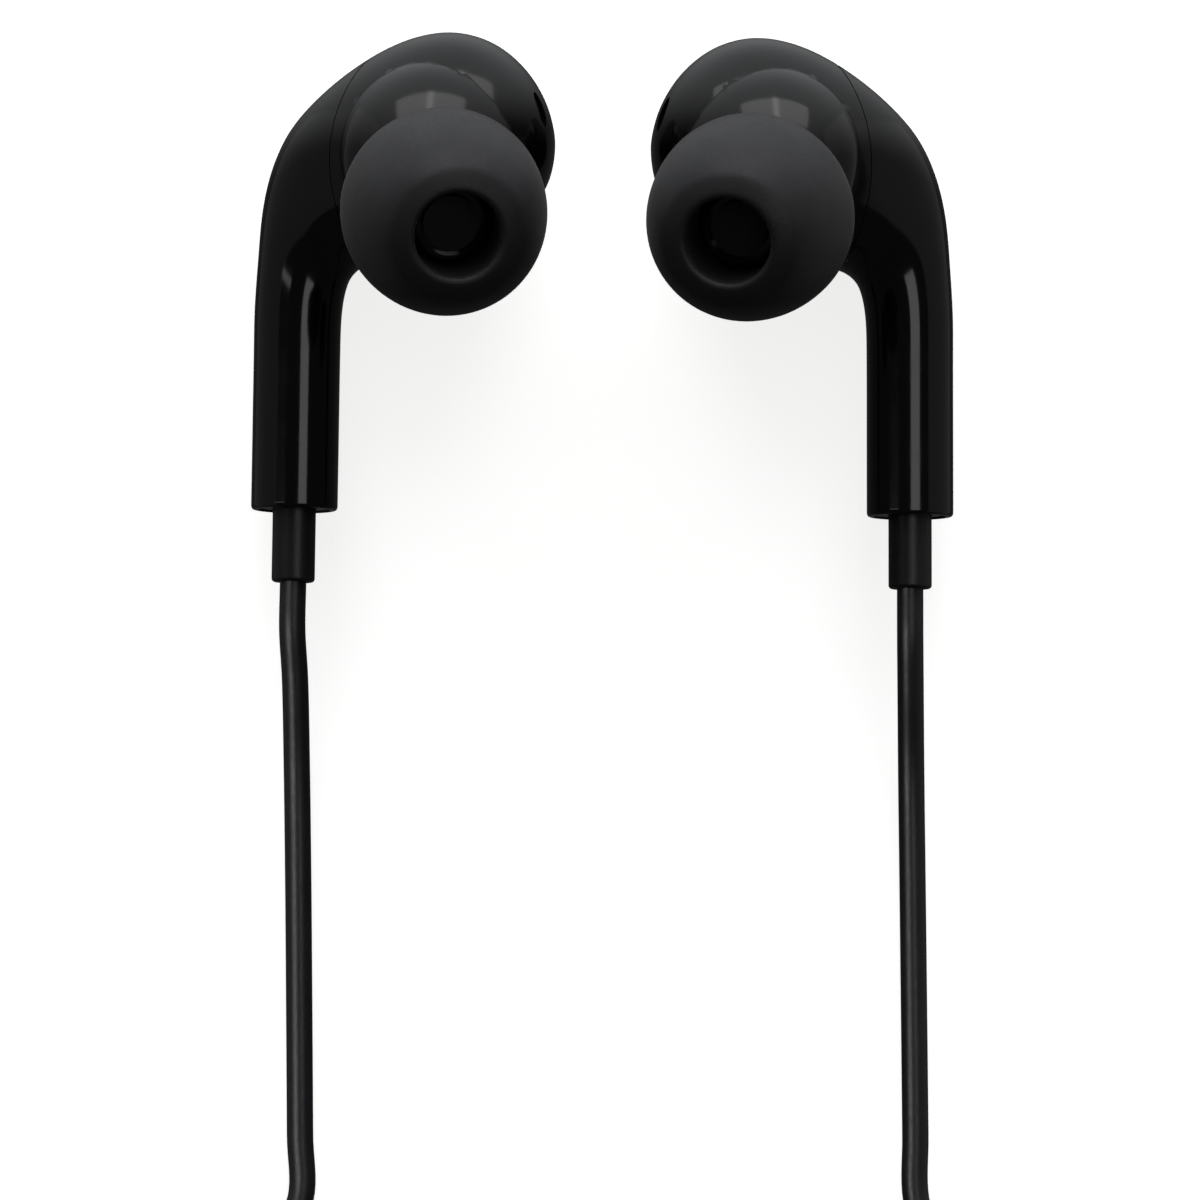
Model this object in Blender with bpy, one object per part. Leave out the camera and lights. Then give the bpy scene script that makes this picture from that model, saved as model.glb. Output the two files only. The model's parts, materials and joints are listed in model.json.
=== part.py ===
"""A pair of wired in-ear earphones, laid flat with their nozzles up and their cable wound below them.

Each earphone has its own frame: the stem runs along its Y axis, the head leans towards its inner
side (u), and its nozzle points up and slightly down the stem. The right earphone mirrors the left.
Sizes are millimetres, and every mesh is written in metres.
"""

from math import cos, pi, radians, sin

import bmesh
import bpy
from mathutils import Matrix, Vector

MM = 0.001
GAP = 0.3  # clear space between two pieces that touch on the real thing

# Earphone housing
STEM_RADIUS = 2.7
STEM_LENGTH = 15.1  # from the level of the crotch down to the stem's open end
HOUSING_WALL = 1.0
PARTING_HEIGHT = 2.5  # where the two housings meet, above the stem's axis
PARTING_CENTRE = (13.0, 6.4)
PARTING_RADIUS = 10.8  # the round edge of the front housing on the neck
STEM_BORE_RADIUS = 1.7
VENT_CENTRE = (15.0, 9.6, 5.0)
VENT_HALF_LENGTH = 1.15
VENT_HALF_WIDTH = 0.5
VENT_MESH_DEPTH = 0.2
VENT_DIRECTION = (0.82, 0.20, 0.50)  # out through the wall of the left earphone

# Nozzle, in steps along its own axis from its root
NOZZLE_ROOT = (9.31, 3.20, 8.7)
NOZZLE_DIRECTION = (0.190, -0.331, 0.924)
NOZZLE_RADIUS = 2.4
NOZZLE_LENGTH = 4.6
NOZZLE_BORE_RADIUS = 1.7
BARB_RADIUS = NOZZLE_RADIUS + 0.35
BARB_START = 3.0
GRILLE_THICKNESS = 0.2
GRILLE_RADIUS = NOZZLE_BORE_RADIUS + 0.05

# Ear tip
TIP_RADIUS = 6.4
TIP_LENGTH = 8.0
TIP_LIP_RADIUS = 3.05
TIP_MOUTH_RADIUS = 2.6
TIP_SKIRT_WALL = 0.45
TIP_SLEEVE_WALL = 0.55
TIP_SLEEVE_CLEARANCE = 0.1
TIP_SLEEVE_START = 0.9  # the sleeve stops short of the skirt's rim

# Driver, stacked along the earphone's own Z axis
DRIVER_CENTRE = (8.9, 7.3)
DRIVER_FLOOR = 0.2
DRIVER_RADIUS = 4.3
FRAME_WALL = 0.4
FRAME_HEIGHT = 2.4
MAGNET_RADIUS = 2.2
MAGNET_THICKNESS = 0.8
TOP_PLATE_THICKNESS = 0.4
COIL_WALL = 0.3
COIL_HEIGHT = 1.3
DIAPHRAGM_THICKNESS = 0.2
DIAPHRAGM_DOME = 0.4
DIAPHRAGM_TRAVEL = 0.15
COVER_THICKNESS = 0.3
BOARD_RADIUS = 2.0
BOARD_THICKNESS = 0.5
GASKET_WALL = 0.4
GASKET_HEIGHT = 1.0

# Stem end and strain relief
RELIEF_RADIUS = 1.35
CAP_RING_WIDTH = 0.3
CAP_POCKET_RADIUS = RELIEF_RADIUS + GAP + CAP_RING_WIDTH + GAP
CAP_THICKNESS = 0.8
CAP_INSET = 0.1
RELIEF_LENGTH = 4.5  # the part that stands out of the stem
RELIEF_FLANGE_THICKNESS = 0.7
RELIEF_CHAMFER = 0.25
CRIMP_RADIUS = 1.0
CRIMP_LENGTH = 1.0
WIRE_RADIUS = 0.22

# Cable
LEAD_DIAMETER = 1.65
TRUNK_DIAMETER = 2.0
LEAD_COIL_DIAMETER = 17.4  # at the middle of its turns
LEAD_COIL_COLUMNS = 3  # places for the cord across the bundle
LEAD_COIL_LAYERS = 2
LEAD_COIL_CENTRE = (12.0, -73.5)
SEEN_LEAD_X = {  # where each lead lies on its way down to its coil
    "left": (-19.14, -19.03, -18.94, -18.86, -18.81, -18.78),
    "right": (19.23, 19.29, 19.37, 19.46, 19.52, 19.56),
}
TRUNK_COIL_DIAMETER = 22.0
TRUNK_COIL_COLUMNS = 4
TRUNK_COIL_LAYERS = 4
TRUNK_COIL_CENTRE = (10.0, -124.5)
TIE_THICKNESS = 0.35
TIE_WIDTH = 3.0
COIL_EDGE = 0.6  # rounding of a coil's outer shape
SPLIT_TOP = -94.0
SPLIT_LENGTH = 12.0
SPLIT_HALF_WIDTH = 2.9
SPLIT_THICKNESS = 3.4
LEAD_SPACING = LEAD_DIAMETER / 2 + 0.525  # from the split's middle to each lead
POINT_SPACING = 2.6  # cord diameters between two points of a cord's tube

# 3.5 mm plug, pointing along +Y
PLUG_TAIL = (-17.0, -132.5)
PLUG_GRIP_RADIUS = 3.0
PLUG_GRIP_LENGTH = 14.0
PLUG_RELIEF_LENGTH = 6.5
PLUG_RELIEF_RADIUS = 1.9
PIN_RADIUS = 1.75
PIN_LENGTH = 14.0
PIN_CORE_RADIUS = 0.6
PIN_CORE_DEPTH = 2.0  # how far the tip's core runs into the grip
PIN_SEAT_DEPTH = 0.7  # how far the sleeve contact runs into the grip
PIN_RING_LENGTH = 2.4
PIN_TIP_LENGTH = 3.5
INSULATOR_LENGTH = 0.6

# Places of the two earphones on the surface: stem axis at the crotch level, lean and roll
STEM_X = {"left": -18.95, "right": 19.2}
STEM_Y = {"left": 0.50, "right": 0.04}
LEAN = {"left": -0.9, "right": 0.0}
ROLL = {"left": -2.5, "right": -2.5}
INNER_SIDE = {"left": 1, "right": -1}

# The housing's cross-sections from the stem to the far side of the head. Each is an ellipse
# between a point on the outer outline and one on the inner outline:
# (outer u, outer y, inner u, inner y, half depth, height of its middle)
HEAD_SECTIONS = [
    (-2.50, 0.90, 3.15, -0.70, 2.85, 0.10),
    (-2.31, 3.30, 4.00, 0.15, 3.25, 0.50),
    (-1.80, 5.75, 5.40, 0.50, 3.85, 1.10),
    (-0.75, 8.20, 6.80, 0.50, 4.45, 1.70),
    (0.90, 10.20, 8.20, 0.45, 4.95, 2.20),
    (3.30, 12.25, 9.60, 0.50, 5.30, 2.55),
    (6.30, 14.00, 11.00, 0.80, 5.50, 2.75),
    (9.40, 14.70, 12.40, 1.40, 5.55, 2.80),
    (12.20, 14.00, 13.80, 2.45, 5.10, 2.80),
    (14.30, 12.25, 14.90, 3.90, 4.00, 2.80),
    (15.50, 10.25, 15.70, 5.40, 2.50, 2.80),
    (15.95, 8.70, 15.98, 6.60, 1.15, 2.80),
]
HEAD_END = (16.06, 7.65, 2.80)
CAVITY_SECTIONS = slice(1, 10)  # the sections that the hollow of the head runs through

# The flare from the head to the nozzle's root: (u, y, z, radius, share of the nozzle's tilt)
FLARE_SECTIONS = [
    (8.70, 7.00, 3.90, 5.85, 0.00),
    (8.55, 6.60, 6.60, 5.70, 0.12),
    (8.70, 5.75, 7.60, 5.40, 0.45),
    (9.00, 4.60, 8.25, 4.80, 0.75),
    (9.22, 3.60, 8.62, 4.00, 0.95),
]
FLARE_END_RADIUS = 3.05


def clear_scene():
    for obj in list(bpy.data.objects):
        bpy.data.objects.remove(obj)


def make_material(name, colour, roughness, metallic=0.0):
    material = bpy.data.materials.new(name)
    material.use_nodes = True
    shader = material.node_tree.nodes["Principled BSDF"]
    shader.inputs["Base Color"].default_value = (*colour, 1.0)
    shader.inputs["Roughness"].default_value = roughness
    shader.inputs["Metallic"].default_value = metallic
    return material


def make_materials():
    return {
        "housing": make_material("gloss_black_abs", (0.008, 0.008, 0.009), 0.08),
        "silicone": make_material("matte_black_silicone", (0.020, 0.020, 0.022), 0.55),
        "rubber": make_material("satin_black_tpe", (0.015, 0.015, 0.016), 0.40),
        "cable": make_material("black_cable_jacket", (0.018, 0.017, 0.019), 0.42),
        "gold": make_material("gold_plated_brass", (0.85, 0.62, 0.25), 0.22, 1.0),
        "steel": make_material("stainless_mesh", (0.40, 0.40, 0.41), 0.35, 1.0),
        "magnet": make_material("nickel_plated_magnet", (0.62, 0.61, 0.58), 0.25, 1.0),
        "copper": make_material("enamelled_copper", (0.72, 0.33, 0.16), 0.35, 1.0),
        "film": make_material("pet_film", (0.62, 0.64, 0.60), 0.25),
        "board": make_material("green_circuit_board", (0.02, 0.16, 0.06), 0.45),
        "foam": make_material("black_foam", (0.02, 0.02, 0.02), 0.9),
        "insulator": make_material("black_nylon", (0.012, 0.012, 0.012), 0.35),
        "hook_tie": make_material("woven_black_tie", (0.03, 0.03, 0.03), 0.8),
    }


def finish(name, bm, material, parent=None, place=None):
    """Make a bmesh drawn in millimetres into a named, smooth-shaded object in metres."""
    bmesh.ops.remove_doubles(bm, verts=bm.verts, dist=0.0005)
    bmesh.ops.recalc_face_normals(bm, faces=bm.faces)
    bmesh.ops.scale(bm, vec=(MM, MM, MM), verts=bm.verts)
    mesh = bpy.data.meshes.new(name)
    bm.to_mesh(mesh)
    bm.free()
    mesh.shade_smooth()
    mesh.set_sharp_from_angle(angle=radians(35))
    if material:
        mesh.materials.append(material)
    obj = bpy.data.objects.new(name, mesh)
    bpy.context.scene.collection.objects.link(obj)
    obj.parent = parent
    if place:
        obj.matrix_local = place
    return obj


def as_cutter(obj):
    obj.hide_render = True
    obj.display_type = "WIRE"
    return obj


def boolean(obj, operation, other):
    modifier = obj.modifiers.new(f"{operation.lower()} {other.name}", "BOOLEAN")
    modifier.operation = operation
    modifier.solver = "EXACT"
    modifier.object = other


def shift(x, y, z, rotation=None):
    """A matrix that moves by millimetres, after turning by the rotation when there is one."""
    turned = rotation.to_4x4() if rotation else Matrix.Identity(4)
    return Matrix.Translation(Vector((x, y, z)) * MM) @ turned


def spline(points, steps):
    """Catmull-Rom curve through the points, with the given number of steps in each span."""
    rows = [Vector(point) for point in points]
    padded = [2 * rows[0] - rows[1], *rows, 2 * rows[-1] - rows[-2]]
    curve = []
    for before, start, end, after in zip(padded, padded[1:], padded[2:], padded[3:]):
        for step in range(steps):
            t = step / steps
            curve.append(
                0.5
                * (
                    2 * start
                    + (end - before) * t
                    + (2 * before - 5 * start + 4 * end - after) * t**2
                    + (3 * start - before - 3 * end + after) * t**3
                )
            )
    curve.append(rows[-1])
    return curve


def ring_of(bm, points):
    verts = [bm.verts.new(point) for point in points]
    return [bm.edges.new(pair) for pair in zip(verts, verts[1:] + verts[:1])]


def loft(rings, end_point=None):
    """A closed body through rings of points, capped flat, or run to a point at its far end."""
    bm = bmesh.new()
    loops = [ring_of(bm, ring) for ring in rings]
    for near, far in zip(loops, loops[1:]):
        bmesh.ops.bridge_loops(bm, edges=near + far)
    bmesh.ops.contextual_create(bm, geom=loops[0])
    if end_point is None:
        bmesh.ops.contextual_create(bm, geom=loops[-1])
    else:
        tip = bm.verts.new(end_point)
        for edge in loops[-1]:
            bm.faces.new((*edge.verts, tip))
    return bm


def turned(profile, segments):
    """A closed outline of (radius, height) points turned about Z."""
    bm = bmesh.new()
    edges = ring_of(bm, [(radius, 0.0, height) for radius, height in profile])
    verts = list({vert for edge in edges for vert in edge.verts})
    bmesh.ops.spin(
        bm,
        geom=verts + edges,
        cent=(0, 0, 0),
        axis=(0, 0, 1),
        angle=2 * pi,
        steps=segments,
        use_merge=True,
    )
    return bm


def tube_wall(inner, outer, bottom, top):
    return [(outer, top), (inner, top), (inner, bottom), (outer, bottom)]


def disc(radius, bottom, top, segments=24):
    """A round plate or pin about Z, with flat ends."""
    bm = bmesh.new()
    middle = Matrix.Translation((0, 0, (bottom + top) / 2))
    bmesh.ops.create_cone(
        bm,
        cap_ends=True,
        segments=segments,
        radius1=radius,
        radius2=radius,
        depth=top - bottom,
        matrix=middle,
    )
    return bm


def rounded_end(radius, height, bevel, steps=3):
    """Points from a flat end's edge round to the side, for a profile that runs top to bottom."""
    angles = [pi / 2 * step / steps for step in range(steps + 1)]
    return [
        (radius - bevel + bevel * sin(angle), height - bevel + bevel * cos(angle))
        for angle in angles
    ]


def tube_object(name, points, diameter, material, parent=None, sides=2):
    """A round tube along points given in metres."""
    curve = bpy.data.curves.new(name, "CURVE")
    curve.dimensions = "3D"
    curve.bevel_depth = diameter / 2 * MM
    curve.bevel_resolution = sides
    curve.use_fill_caps = True
    line = curve.splines.new("POLY")
    line.points.add(len(points) - 1)
    for target, point in zip(line.points, points):
        target.co = (*point, 1.0)
    curve.materials.append(material)
    obj = bpy.data.objects.new(name, curve)
    bpy.context.scene.collection.objects.link(obj)
    obj.parent = parent
    return obj


def evenly(points, spacing):
    """The same path with its points about the given distance apart."""
    lengths = [0.0]
    for start, end in zip(points, points[1:]):
        lengths.append(lengths[-1] + (end - start).length)
    count = max(2, round(lengths[-1] / spacing))
    path = []
    index = 0
    for step in range(count + 1):
        wanted = lengths[-1] * step / count
        while index < len(points) - 2 and lengths[index + 1] < wanted:
            index += 1
        share = (wanted - lengths[index]) / (lengths[index + 1] - lengths[index])
        path.append(points[index].lerp(points[index + 1], min(share, 1.0)))
    return path


def housing_sections(inset):
    """The sections of one earphone, drawn in by the inset all round."""
    wall = STEM_RADIUS - inset
    stem = [
        (-wall, -STEM_LENGTH, wall, -STEM_LENGTH, wall, 0.0),
        (-wall, -STEM_LENGTH * 2 / 3, wall, -STEM_LENGTH * 2 / 3, wall, 0.0),
        (-wall, -STEM_LENGTH / 3, wall, -STEM_LENGTH / 3, wall, 0.0),
        (-wall, -2.5, wall + 0.05, -2.7, wall, 0.0),
    ]
    head = []
    for outer_u, outer_y, inner_u, inner_y, depth, height in HEAD_SECTIONS:
        across = Vector((inner_u - outer_u, inner_y - outer_y)).normalized() * inset
        head.append(
            (
                outer_u + across.x,
                outer_y + across.y,
                inner_u - across.x,
                inner_y - across.y,
                depth - inset,
                height,
            )
        )
    return stem, head


def section_ring(section, side, count):
    outer_u, outer_y, inner_u, inner_y, depth, height = section
    middle = Vector(((outer_u + inner_u) / 2, (outer_y + inner_y) / 2))
    reach = Vector(((inner_u - outer_u) / 2, (inner_y - outer_y) / 2))
    ring = []
    for step in range(count):
        angle = 2 * pi * step / count
        point = middle + reach * cos(angle)
        ring.append(Vector((side * point.x, point.y, height + depth * sin(angle))))
    return ring


def smooth_sections(sections, steps):
    """Sections between the given ones: a curve through six numbers, three at a time."""
    first = spline([section[:3] for section in sections], steps)
    last = spline([section[3:] for section in sections], steps)
    return [(*a, *b) for a, b in zip(first, last)]


def housing_body(side, count=22):
    """The whole outer shape of stem and head as one solid."""
    stem, head = housing_sections(0.0)
    rings = [section_ring(section, side, count) for section in smooth_sections(stem + head, 2)]
    del rings[1:6]  # the stem is straight, so it needs no rings between its ends
    return loft(rings, end_point=(side * HEAD_END[0], *HEAD_END[1:]))


def cavity_body(side, count=18):
    """The hollow of the head."""
    _, head = housing_sections(HOUSING_WALL)
    sections = smooth_sections(head[CAVITY_SECTIONS], 1)
    return loft([section_ring(section, side, count) for section in sections])


def nozzle_axis(side):
    return Vector((side * NOZZLE_DIRECTION[0], *NOZZLE_DIRECTION[1:])).normalized()


def nozzle_turn(side):
    """The rotation that takes +Z to the nozzle's axis."""
    return nozzle_axis(side).to_track_quat("Z", "Y").to_matrix()


def nozzle_place(side):
    return shift(side * NOZZLE_ROOT[0], *NOZZLE_ROOT[1:], nozzle_turn(side))


def nozzle_outline():
    """(step along the axis, radius) of the nozzle tube with its retaining barb."""
    return [
        (0.0, FLARE_END_RADIUS),
        (0.45, FLARE_END_RADIUS - 0.1),
        (0.55, NOZZLE_RADIUS),
        (BARB_START, NOZZLE_RADIUS),
        (BARB_START + 0.3, BARB_RADIUS),
        (BARB_START + 0.8, BARB_RADIUS),
        (NOZZLE_LENGTH - 0.1, NOZZLE_RADIUS + 0.05),
        (NOZZLE_LENGTH, NOZZLE_RADIUS - 0.1),
    ]


def flare_body(side, count=22):
    """The flare and the nozzle tube as one solid, from inside the head to the nozzle's end."""
    axis = nozzle_axis(side)
    upright = Vector((0, 0, 1))
    rings = []
    for u, y, z, radius, share in FLARE_SECTIONS:
        rings.append((Vector((side * u, y, z)), radius, upright.lerp(axis, share)))
    root = Vector((side * NOZZLE_ROOT[0], *NOZZLE_ROOT[1:]))
    for step, radius in nozzle_outline():
        rings.append((root + axis * step, radius, axis))
    loops = []
    for centre, radius, normal in rings:
        sideways = Vector((0, 1, 0)).cross(normal).normalized()
        upwards = normal.normalized().cross(sideways)
        angles = [2 * pi * step / count for step in range(count)]
        loops.append([centre + radius * (sideways * cos(a) + upwards * sin(a)) for a in angles])
    return loft(loops)


def tip_outer_radius(along):
    """Radius of the ear tip's outside at a distance from its rear rim."""
    widest = 1.0
    if along <= widest:
        return TIP_RADIUS - 0.1 * (widest - along)
    share = (along - widest) / (TIP_LENGTH - widest)
    return TIP_LIP_RADIUS + (TIP_RADIUS - TIP_LIP_RADIUS) * (1 - share**2) ** 0.75


def tip_profile():
    """The ear tip's wall: umbrella skirt, rounded lip, mouth, and the sleeve that grips the nozzle."""
    bore = BARB_RADIUS + TIP_SLEEVE_CLEARANCE
    sleeve = bore + TIP_SLEEVE_WALL
    seat = NOZZLE_LENGTH + GAP
    outer_steps = [share * TIP_LENGTH for share in (0, 0.125, 0.3, 0.475, 0.64, 0.775, 0.89, 0.96, 1)]
    outside = [(tip_outer_radius(along), along) for along in outer_steps]
    mouth = [
        (TIP_LIP_RADIUS - 0.3, TIP_LENGTH - 0.12),
        (TIP_MOUTH_RADIUS, TIP_LENGTH - 0.5),
        (TIP_MOUTH_RADIUS, seat),
        (bore, seat),
        (bore, TIP_SLEEVE_START),
        (sleeve, TIP_SLEEVE_START),
        (sleeve, seat + 0.3),
        (sleeve + 0.8, seat + 0.8),
    ]
    inner_steps = [share * (seat + 0.1) for share in (1, 0.76, 0.48, 0.2, 0)]
    inside = [(tip_outer_radius(along) - TIP_SKIRT_WALL, along) for along in inner_steps]
    return outside + mouth + inside


def make_housings(name, side, parent, materials):
    rear = finish(f"{name}_rear_housing", housing_body(side), materials["housing"], parent)
    front = finish(f"{name}_front_housing", housing_body(side), materials["housing"], parent)
    cavity = as_cutter(finish(f"{name}_head_hollow", cavity_body(side), None, parent))
    axis_x = side * PARTING_CENTRE[0]
    tall = 20.0  # well above the head
    pocket_bm = disc(PARTING_RADIUS + GAP / 2, PARTING_HEIGHT - GAP / 2, tall, 48)
    pocket = as_cutter(
        finish(f"{name}_front_space", pocket_bm, None, parent, shift(axis_x, PARTING_CENTRE[1], 0))
    )
    core_bm = disc(PARTING_RADIUS - GAP / 2, PARTING_HEIGHT + GAP / 2, tall, 48)
    core = as_cutter(
        finish(f"{name}_front_core", core_bm, None, parent, shift(axis_x, PARTING_CENTRE[1], 0))
    )
    flare = as_cutter(finish(f"{name}_flare", flare_body(side), None, parent))
    bore_profile = [
        (NOZZLE_BORE_RADIUS, -6.0),
        (NOZZLE_BORE_RADIUS, NOZZLE_LENGTH - GRILLE_THICKNESS - GAP),
        (GRILLE_RADIUS + GAP, NOZZLE_LENGTH - GRILLE_THICKNESS - GAP),
        (GRILLE_RADIUS + GAP, NOZZLE_LENGTH + 1),
        (0, NOZZLE_LENGTH + 1),
        (0, -6.0),
    ]
    bore = as_cutter(
        finish(f"{name}_nozzle_bore", turned(bore_profile, 20), None, parent, nozzle_place(side))
    )
    stem_profile = [
        (CAP_POCKET_RADIUS, -1.0),
        (CAP_POCKET_RADIUS, pocket_depth()),
        (STEM_BORE_RADIUS, pocket_depth()),
        (STEM_BORE_RADIUS, STEM_LENGTH + 3.2),
        (0, STEM_LENGTH + 3.2),
        (0, -1.0),
    ]
    stem_bore = as_cutter(
        finish(f"{name}_stem_bore", turned(stem_profile, 20), None, parent, stem_end_place())
    )
    vent_bm = disc(1.0, -2.0, 3.0, 16)
    bmesh.ops.scale(vent_bm, vec=(VENT_HALF_WIDTH, VENT_HALF_LENGTH, 1.0), verts=vent_bm.verts)
    outwards = Vector((side * VENT_DIRECTION[0], *VENT_DIRECTION[1:]))
    outwards = outwards.to_track_quat("Z", "X").to_matrix()
    vent = as_cutter(
        finish(
            f"{name}_vent_hole",
            vent_bm,
            None,
            parent,
            shift(side * VENT_CENTRE[0], *VENT_CENTRE[1:], outwards),
        )
    )
    for other in (pocket, cavity, stem_bore):
        boolean(rear, "DIFFERENCE", other)
    boolean(front, "INTERSECT", core)
    boolean(front, "UNION", flare)
    for other in (cavity, bore, vent):
        boolean(front, "DIFFERENCE", other)
    mesh_bm = disc(1.0, -0.1, 0.1, 16)
    bmesh.ops.scale(
        mesh_bm, vec=(VENT_HALF_WIDTH - 0.1, VENT_HALF_LENGTH - 0.25, 1.0), verts=mesh_bm.verts
    )
    inside = Vector(VENT_CENTRE) - VENT_MESH_DEPTH * Vector(VENT_DIRECTION)
    finish(
        f"{name}_vent_mesh",
        mesh_bm,
        materials["steel"],
        parent,
        shift(side * inside.x, inside.y, inside.z, outwards),
    )


def pocket_depth():
    """How far the wide part of the stem's bore runs up from its end."""
    return CAP_INSET + CAP_THICKNESS + GAP + RELIEF_FLANGE_THICKNESS + GAP


def stem_end_place():
    """At the middle of the stem's end, with Z running up the stem."""
    up_the_stem = Vector((0, 1, 0)).to_track_quat("Z", "X").to_matrix()
    return shift(0, -STEM_LENGTH, 0, up_the_stem)


def make_tip(name, side, parent, materials):
    finish(
        f"{name}_ear_tip",
        turned(tip_profile(), 22),
        materials["silicone"],
        parent,
        nozzle_place(side),
    )
    grille_bottom = NOZZLE_LENGTH - GRILLE_THICKNESS
    finish(
        f"{name}_nozzle_mesh",
        disc(GRILLE_RADIUS, grille_bottom, NOZZLE_LENGTH, 18),
        materials["steel"],
        parent,
        nozzle_place(side),
    )


def make_driver(name, side, parent, materials):
    place = shift(side * DRIVER_CENTRE[0], DRIVER_CENTRE[1], DRIVER_FLOOR)
    inner = DRIVER_RADIUS - FRAME_WALL
    frame = [
        (DRIVER_RADIUS, FRAME_HEIGHT),
        (inner, FRAME_HEIGHT),
        (inner, FRAME_WALL),
        (0.5, FRAME_WALL),
        (0.5, 0),
        (DRIVER_RADIUS, 0),
    ]
    finish(f"{name}_driver_frame", turned(frame, 24), materials["magnet"], parent, place)
    magnet_bottom = FRAME_WALL + GAP
    magnet_top = magnet_bottom + MAGNET_THICKNESS
    finish(
        f"{name}_driver_magnet",
        disc(MAGNET_RADIUS, magnet_bottom, magnet_top, 20),
        materials["magnet"],
        parent,
        place,
    )
    plate_bottom = magnet_top + GAP
    plate_top = plate_bottom + TOP_PLATE_THICKNESS
    finish(
        f"{name}_driver_top_plate",
        disc(MAGNET_RADIUS, plate_bottom, plate_top, 20),
        materials["steel"],
        parent,
        place,
    )
    coil_inner = MAGNET_RADIUS + GAP
    coil_top = plate_top + GAP
    finish(
        f"{name}_voice_coil",
        turned(
            tube_wall(coil_inner, coil_inner + COIL_WALL, coil_top - COIL_HEIGHT, coil_top), 20
        ),
        materials["copper"],
        parent,
        place,
    )
    rim = max(coil_top, FRAME_HEIGHT) + DIAPHRAGM_TRAVEL + GAP
    roll_middle = (coil_inner + inner) / 2
    under = [
        (0, rim + DIAPHRAGM_DOME),
        (coil_inner * 0.6, rim + DIAPHRAGM_DOME * 0.7),
        (coil_inner, rim),
        (roll_middle, rim + DIAPHRAGM_DOME / 2),
        (inner, rim),
    ]
    over = [(radius, height + DIAPHRAGM_THICKNESS) for radius, height in reversed(under)]
    finish(
        f"{name}_diaphragm", turned(under + over, 20), materials["film"], parent, place
    )
    cover_bottom = rim + DIAPHRAGM_DOME + DIAPHRAGM_THICKNESS + DIAPHRAGM_TRAVEL + GAP
    cover = tube_wall(1.0, DRIVER_RADIUS, cover_bottom, cover_bottom + COVER_THICKNESS)
    finish(f"{name}_driver_cover", turned(cover, 24), materials["steel"], parent, place)
    finish(
        f"{name}_driver_board",
        disc(BOARD_RADIUS, -GAP - BOARD_THICKNESS, -GAP, 18),
        materials["board"],
        parent,
        place,
    )
    gasket_inner = DRIVER_RADIUS + GAP
    gasket = tube_wall(
        gasket_inner, gasket_inner + GASKET_WALL, FRAME_HEIGHT - GASKET_HEIGHT, FRAME_HEIGHT
    )
    finish(f"{name}_driver_gasket", turned(gasket, 24), materials["foam"], parent, place)


def make_stem_end(name, side, parent, materials):
    place = stem_end_place()
    cap_top = CAP_INSET + CAP_THICKNESS
    cap = tube_wall(RELIEF_RADIUS + GAP, CAP_POCKET_RADIUS - GAP, CAP_INSET, cap_top)
    finish(f"{name}_stem_end_cap", turned(cap, 22), materials["housing"], parent, place)
    flange_bottom = cap_top + GAP
    flange_top = flange_bottom + RELIEF_FLANGE_THICKNESS
    relief = [
        (CAP_POCKET_RADIUS - GAP, flange_top),
        (0, flange_top),
        (0, -RELIEF_LENGTH),
        (RELIEF_RADIUS - RELIEF_CHAMFER, -RELIEF_LENGTH),
        (RELIEF_RADIUS, -RELIEF_LENGTH + RELIEF_CHAMFER),
        (RELIEF_RADIUS, flange_bottom),
        (CAP_POCKET_RADIUS - GAP, flange_bottom),
    ]
    finish(f"{name}_strain_relief", turned(relief, 20), materials["rubber"], parent, place)
    crimp_bottom = pocket_depth() + GAP
    crimp_top = crimp_bottom + CRIMP_LENGTH
    finish(
        f"{name}_cable_crimp",
        disc(CRIMP_RADIUS, crimp_bottom, crimp_top, 16),
        materials["copper"],
        parent,
        place,
    )
    board_edge = DRIVER_CENTRE[0] - BOARD_RADIUS - GAP - WIRE_RADIUS
    wire_level = DRIVER_FLOOR - GAP - BOARD_THICKNESS / 2
    wire_end = -STEM_LENGTH + crimp_top + GAP
    for label, offset in (("signal", -0.45), ("ground", 0.45)):
        route = [
            (board_edge, DRIVER_CENTRE[1] - 0.7 - offset, wire_level),
            (4.4, 5.6 - offset, wire_level + 0.1),
            (2.3, 4.0 - offset, 0.1),
            (0.6 + offset / 2, 1.6 - offset / 2, 0.1),
            (offset, -2.0, 0.0),
            (offset, -6.0, 0.0),
            (offset, wire_end, 0.0),
        ]
        points = evenly(spline([(side * u, y, z) for u, y, z in route], 6), 1.3)
        tube_object(
            f"{name}_{label}_wire",
            [point * MM for point in points],
            2 * WIRE_RADIUS,
            materials["copper"],
            parent,
            sides=1,
        )


def bud_rotation(name):
    lean = Matrix.Rotation(radians(LEAN[name]), 3, "Z")
    roll = Matrix.Rotation(radians(ROLL[name]), 3, "Y")
    return lean @ roll


def bud_place(name):
    """Where the earphone's frame stands, with the lowest point of its housing on the surface."""
    side = INNER_SIDE[name]
    rotation = bud_rotation(name)
    stem, head = housing_sections(0.0)
    rings = [section_ring(section, side, 44) for section in smooth_sections(stem + head, 4)]
    lowest = min((rotation @ point).z for ring in rings for point in ring)
    return shift(STEM_X[name], STEM_Y[name], -lowest, rotation)


def make_earphone(name, materials):
    side = INNER_SIDE[name]
    frame = bpy.data.objects.new(f"{name}_earphone", None)
    bpy.context.scene.collection.objects.link(frame)
    frame.matrix_world = bud_place(name)
    make_housings(name, side, frame, materials)
    make_tip(name, side, frame, materials)
    make_driver(name, side, frame, materials)
    make_stem_end(name, side, frame, materials)


def cable_exit(name, beyond):
    """A point on the strain relief's axis, this far beyond its end, in millimetres."""
    place = bud_place(name)
    return (place @ (Vector((0, -STEM_LENGTH - RELIEF_LENGTH - beyond, 0)) * MM)) / MM


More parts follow.
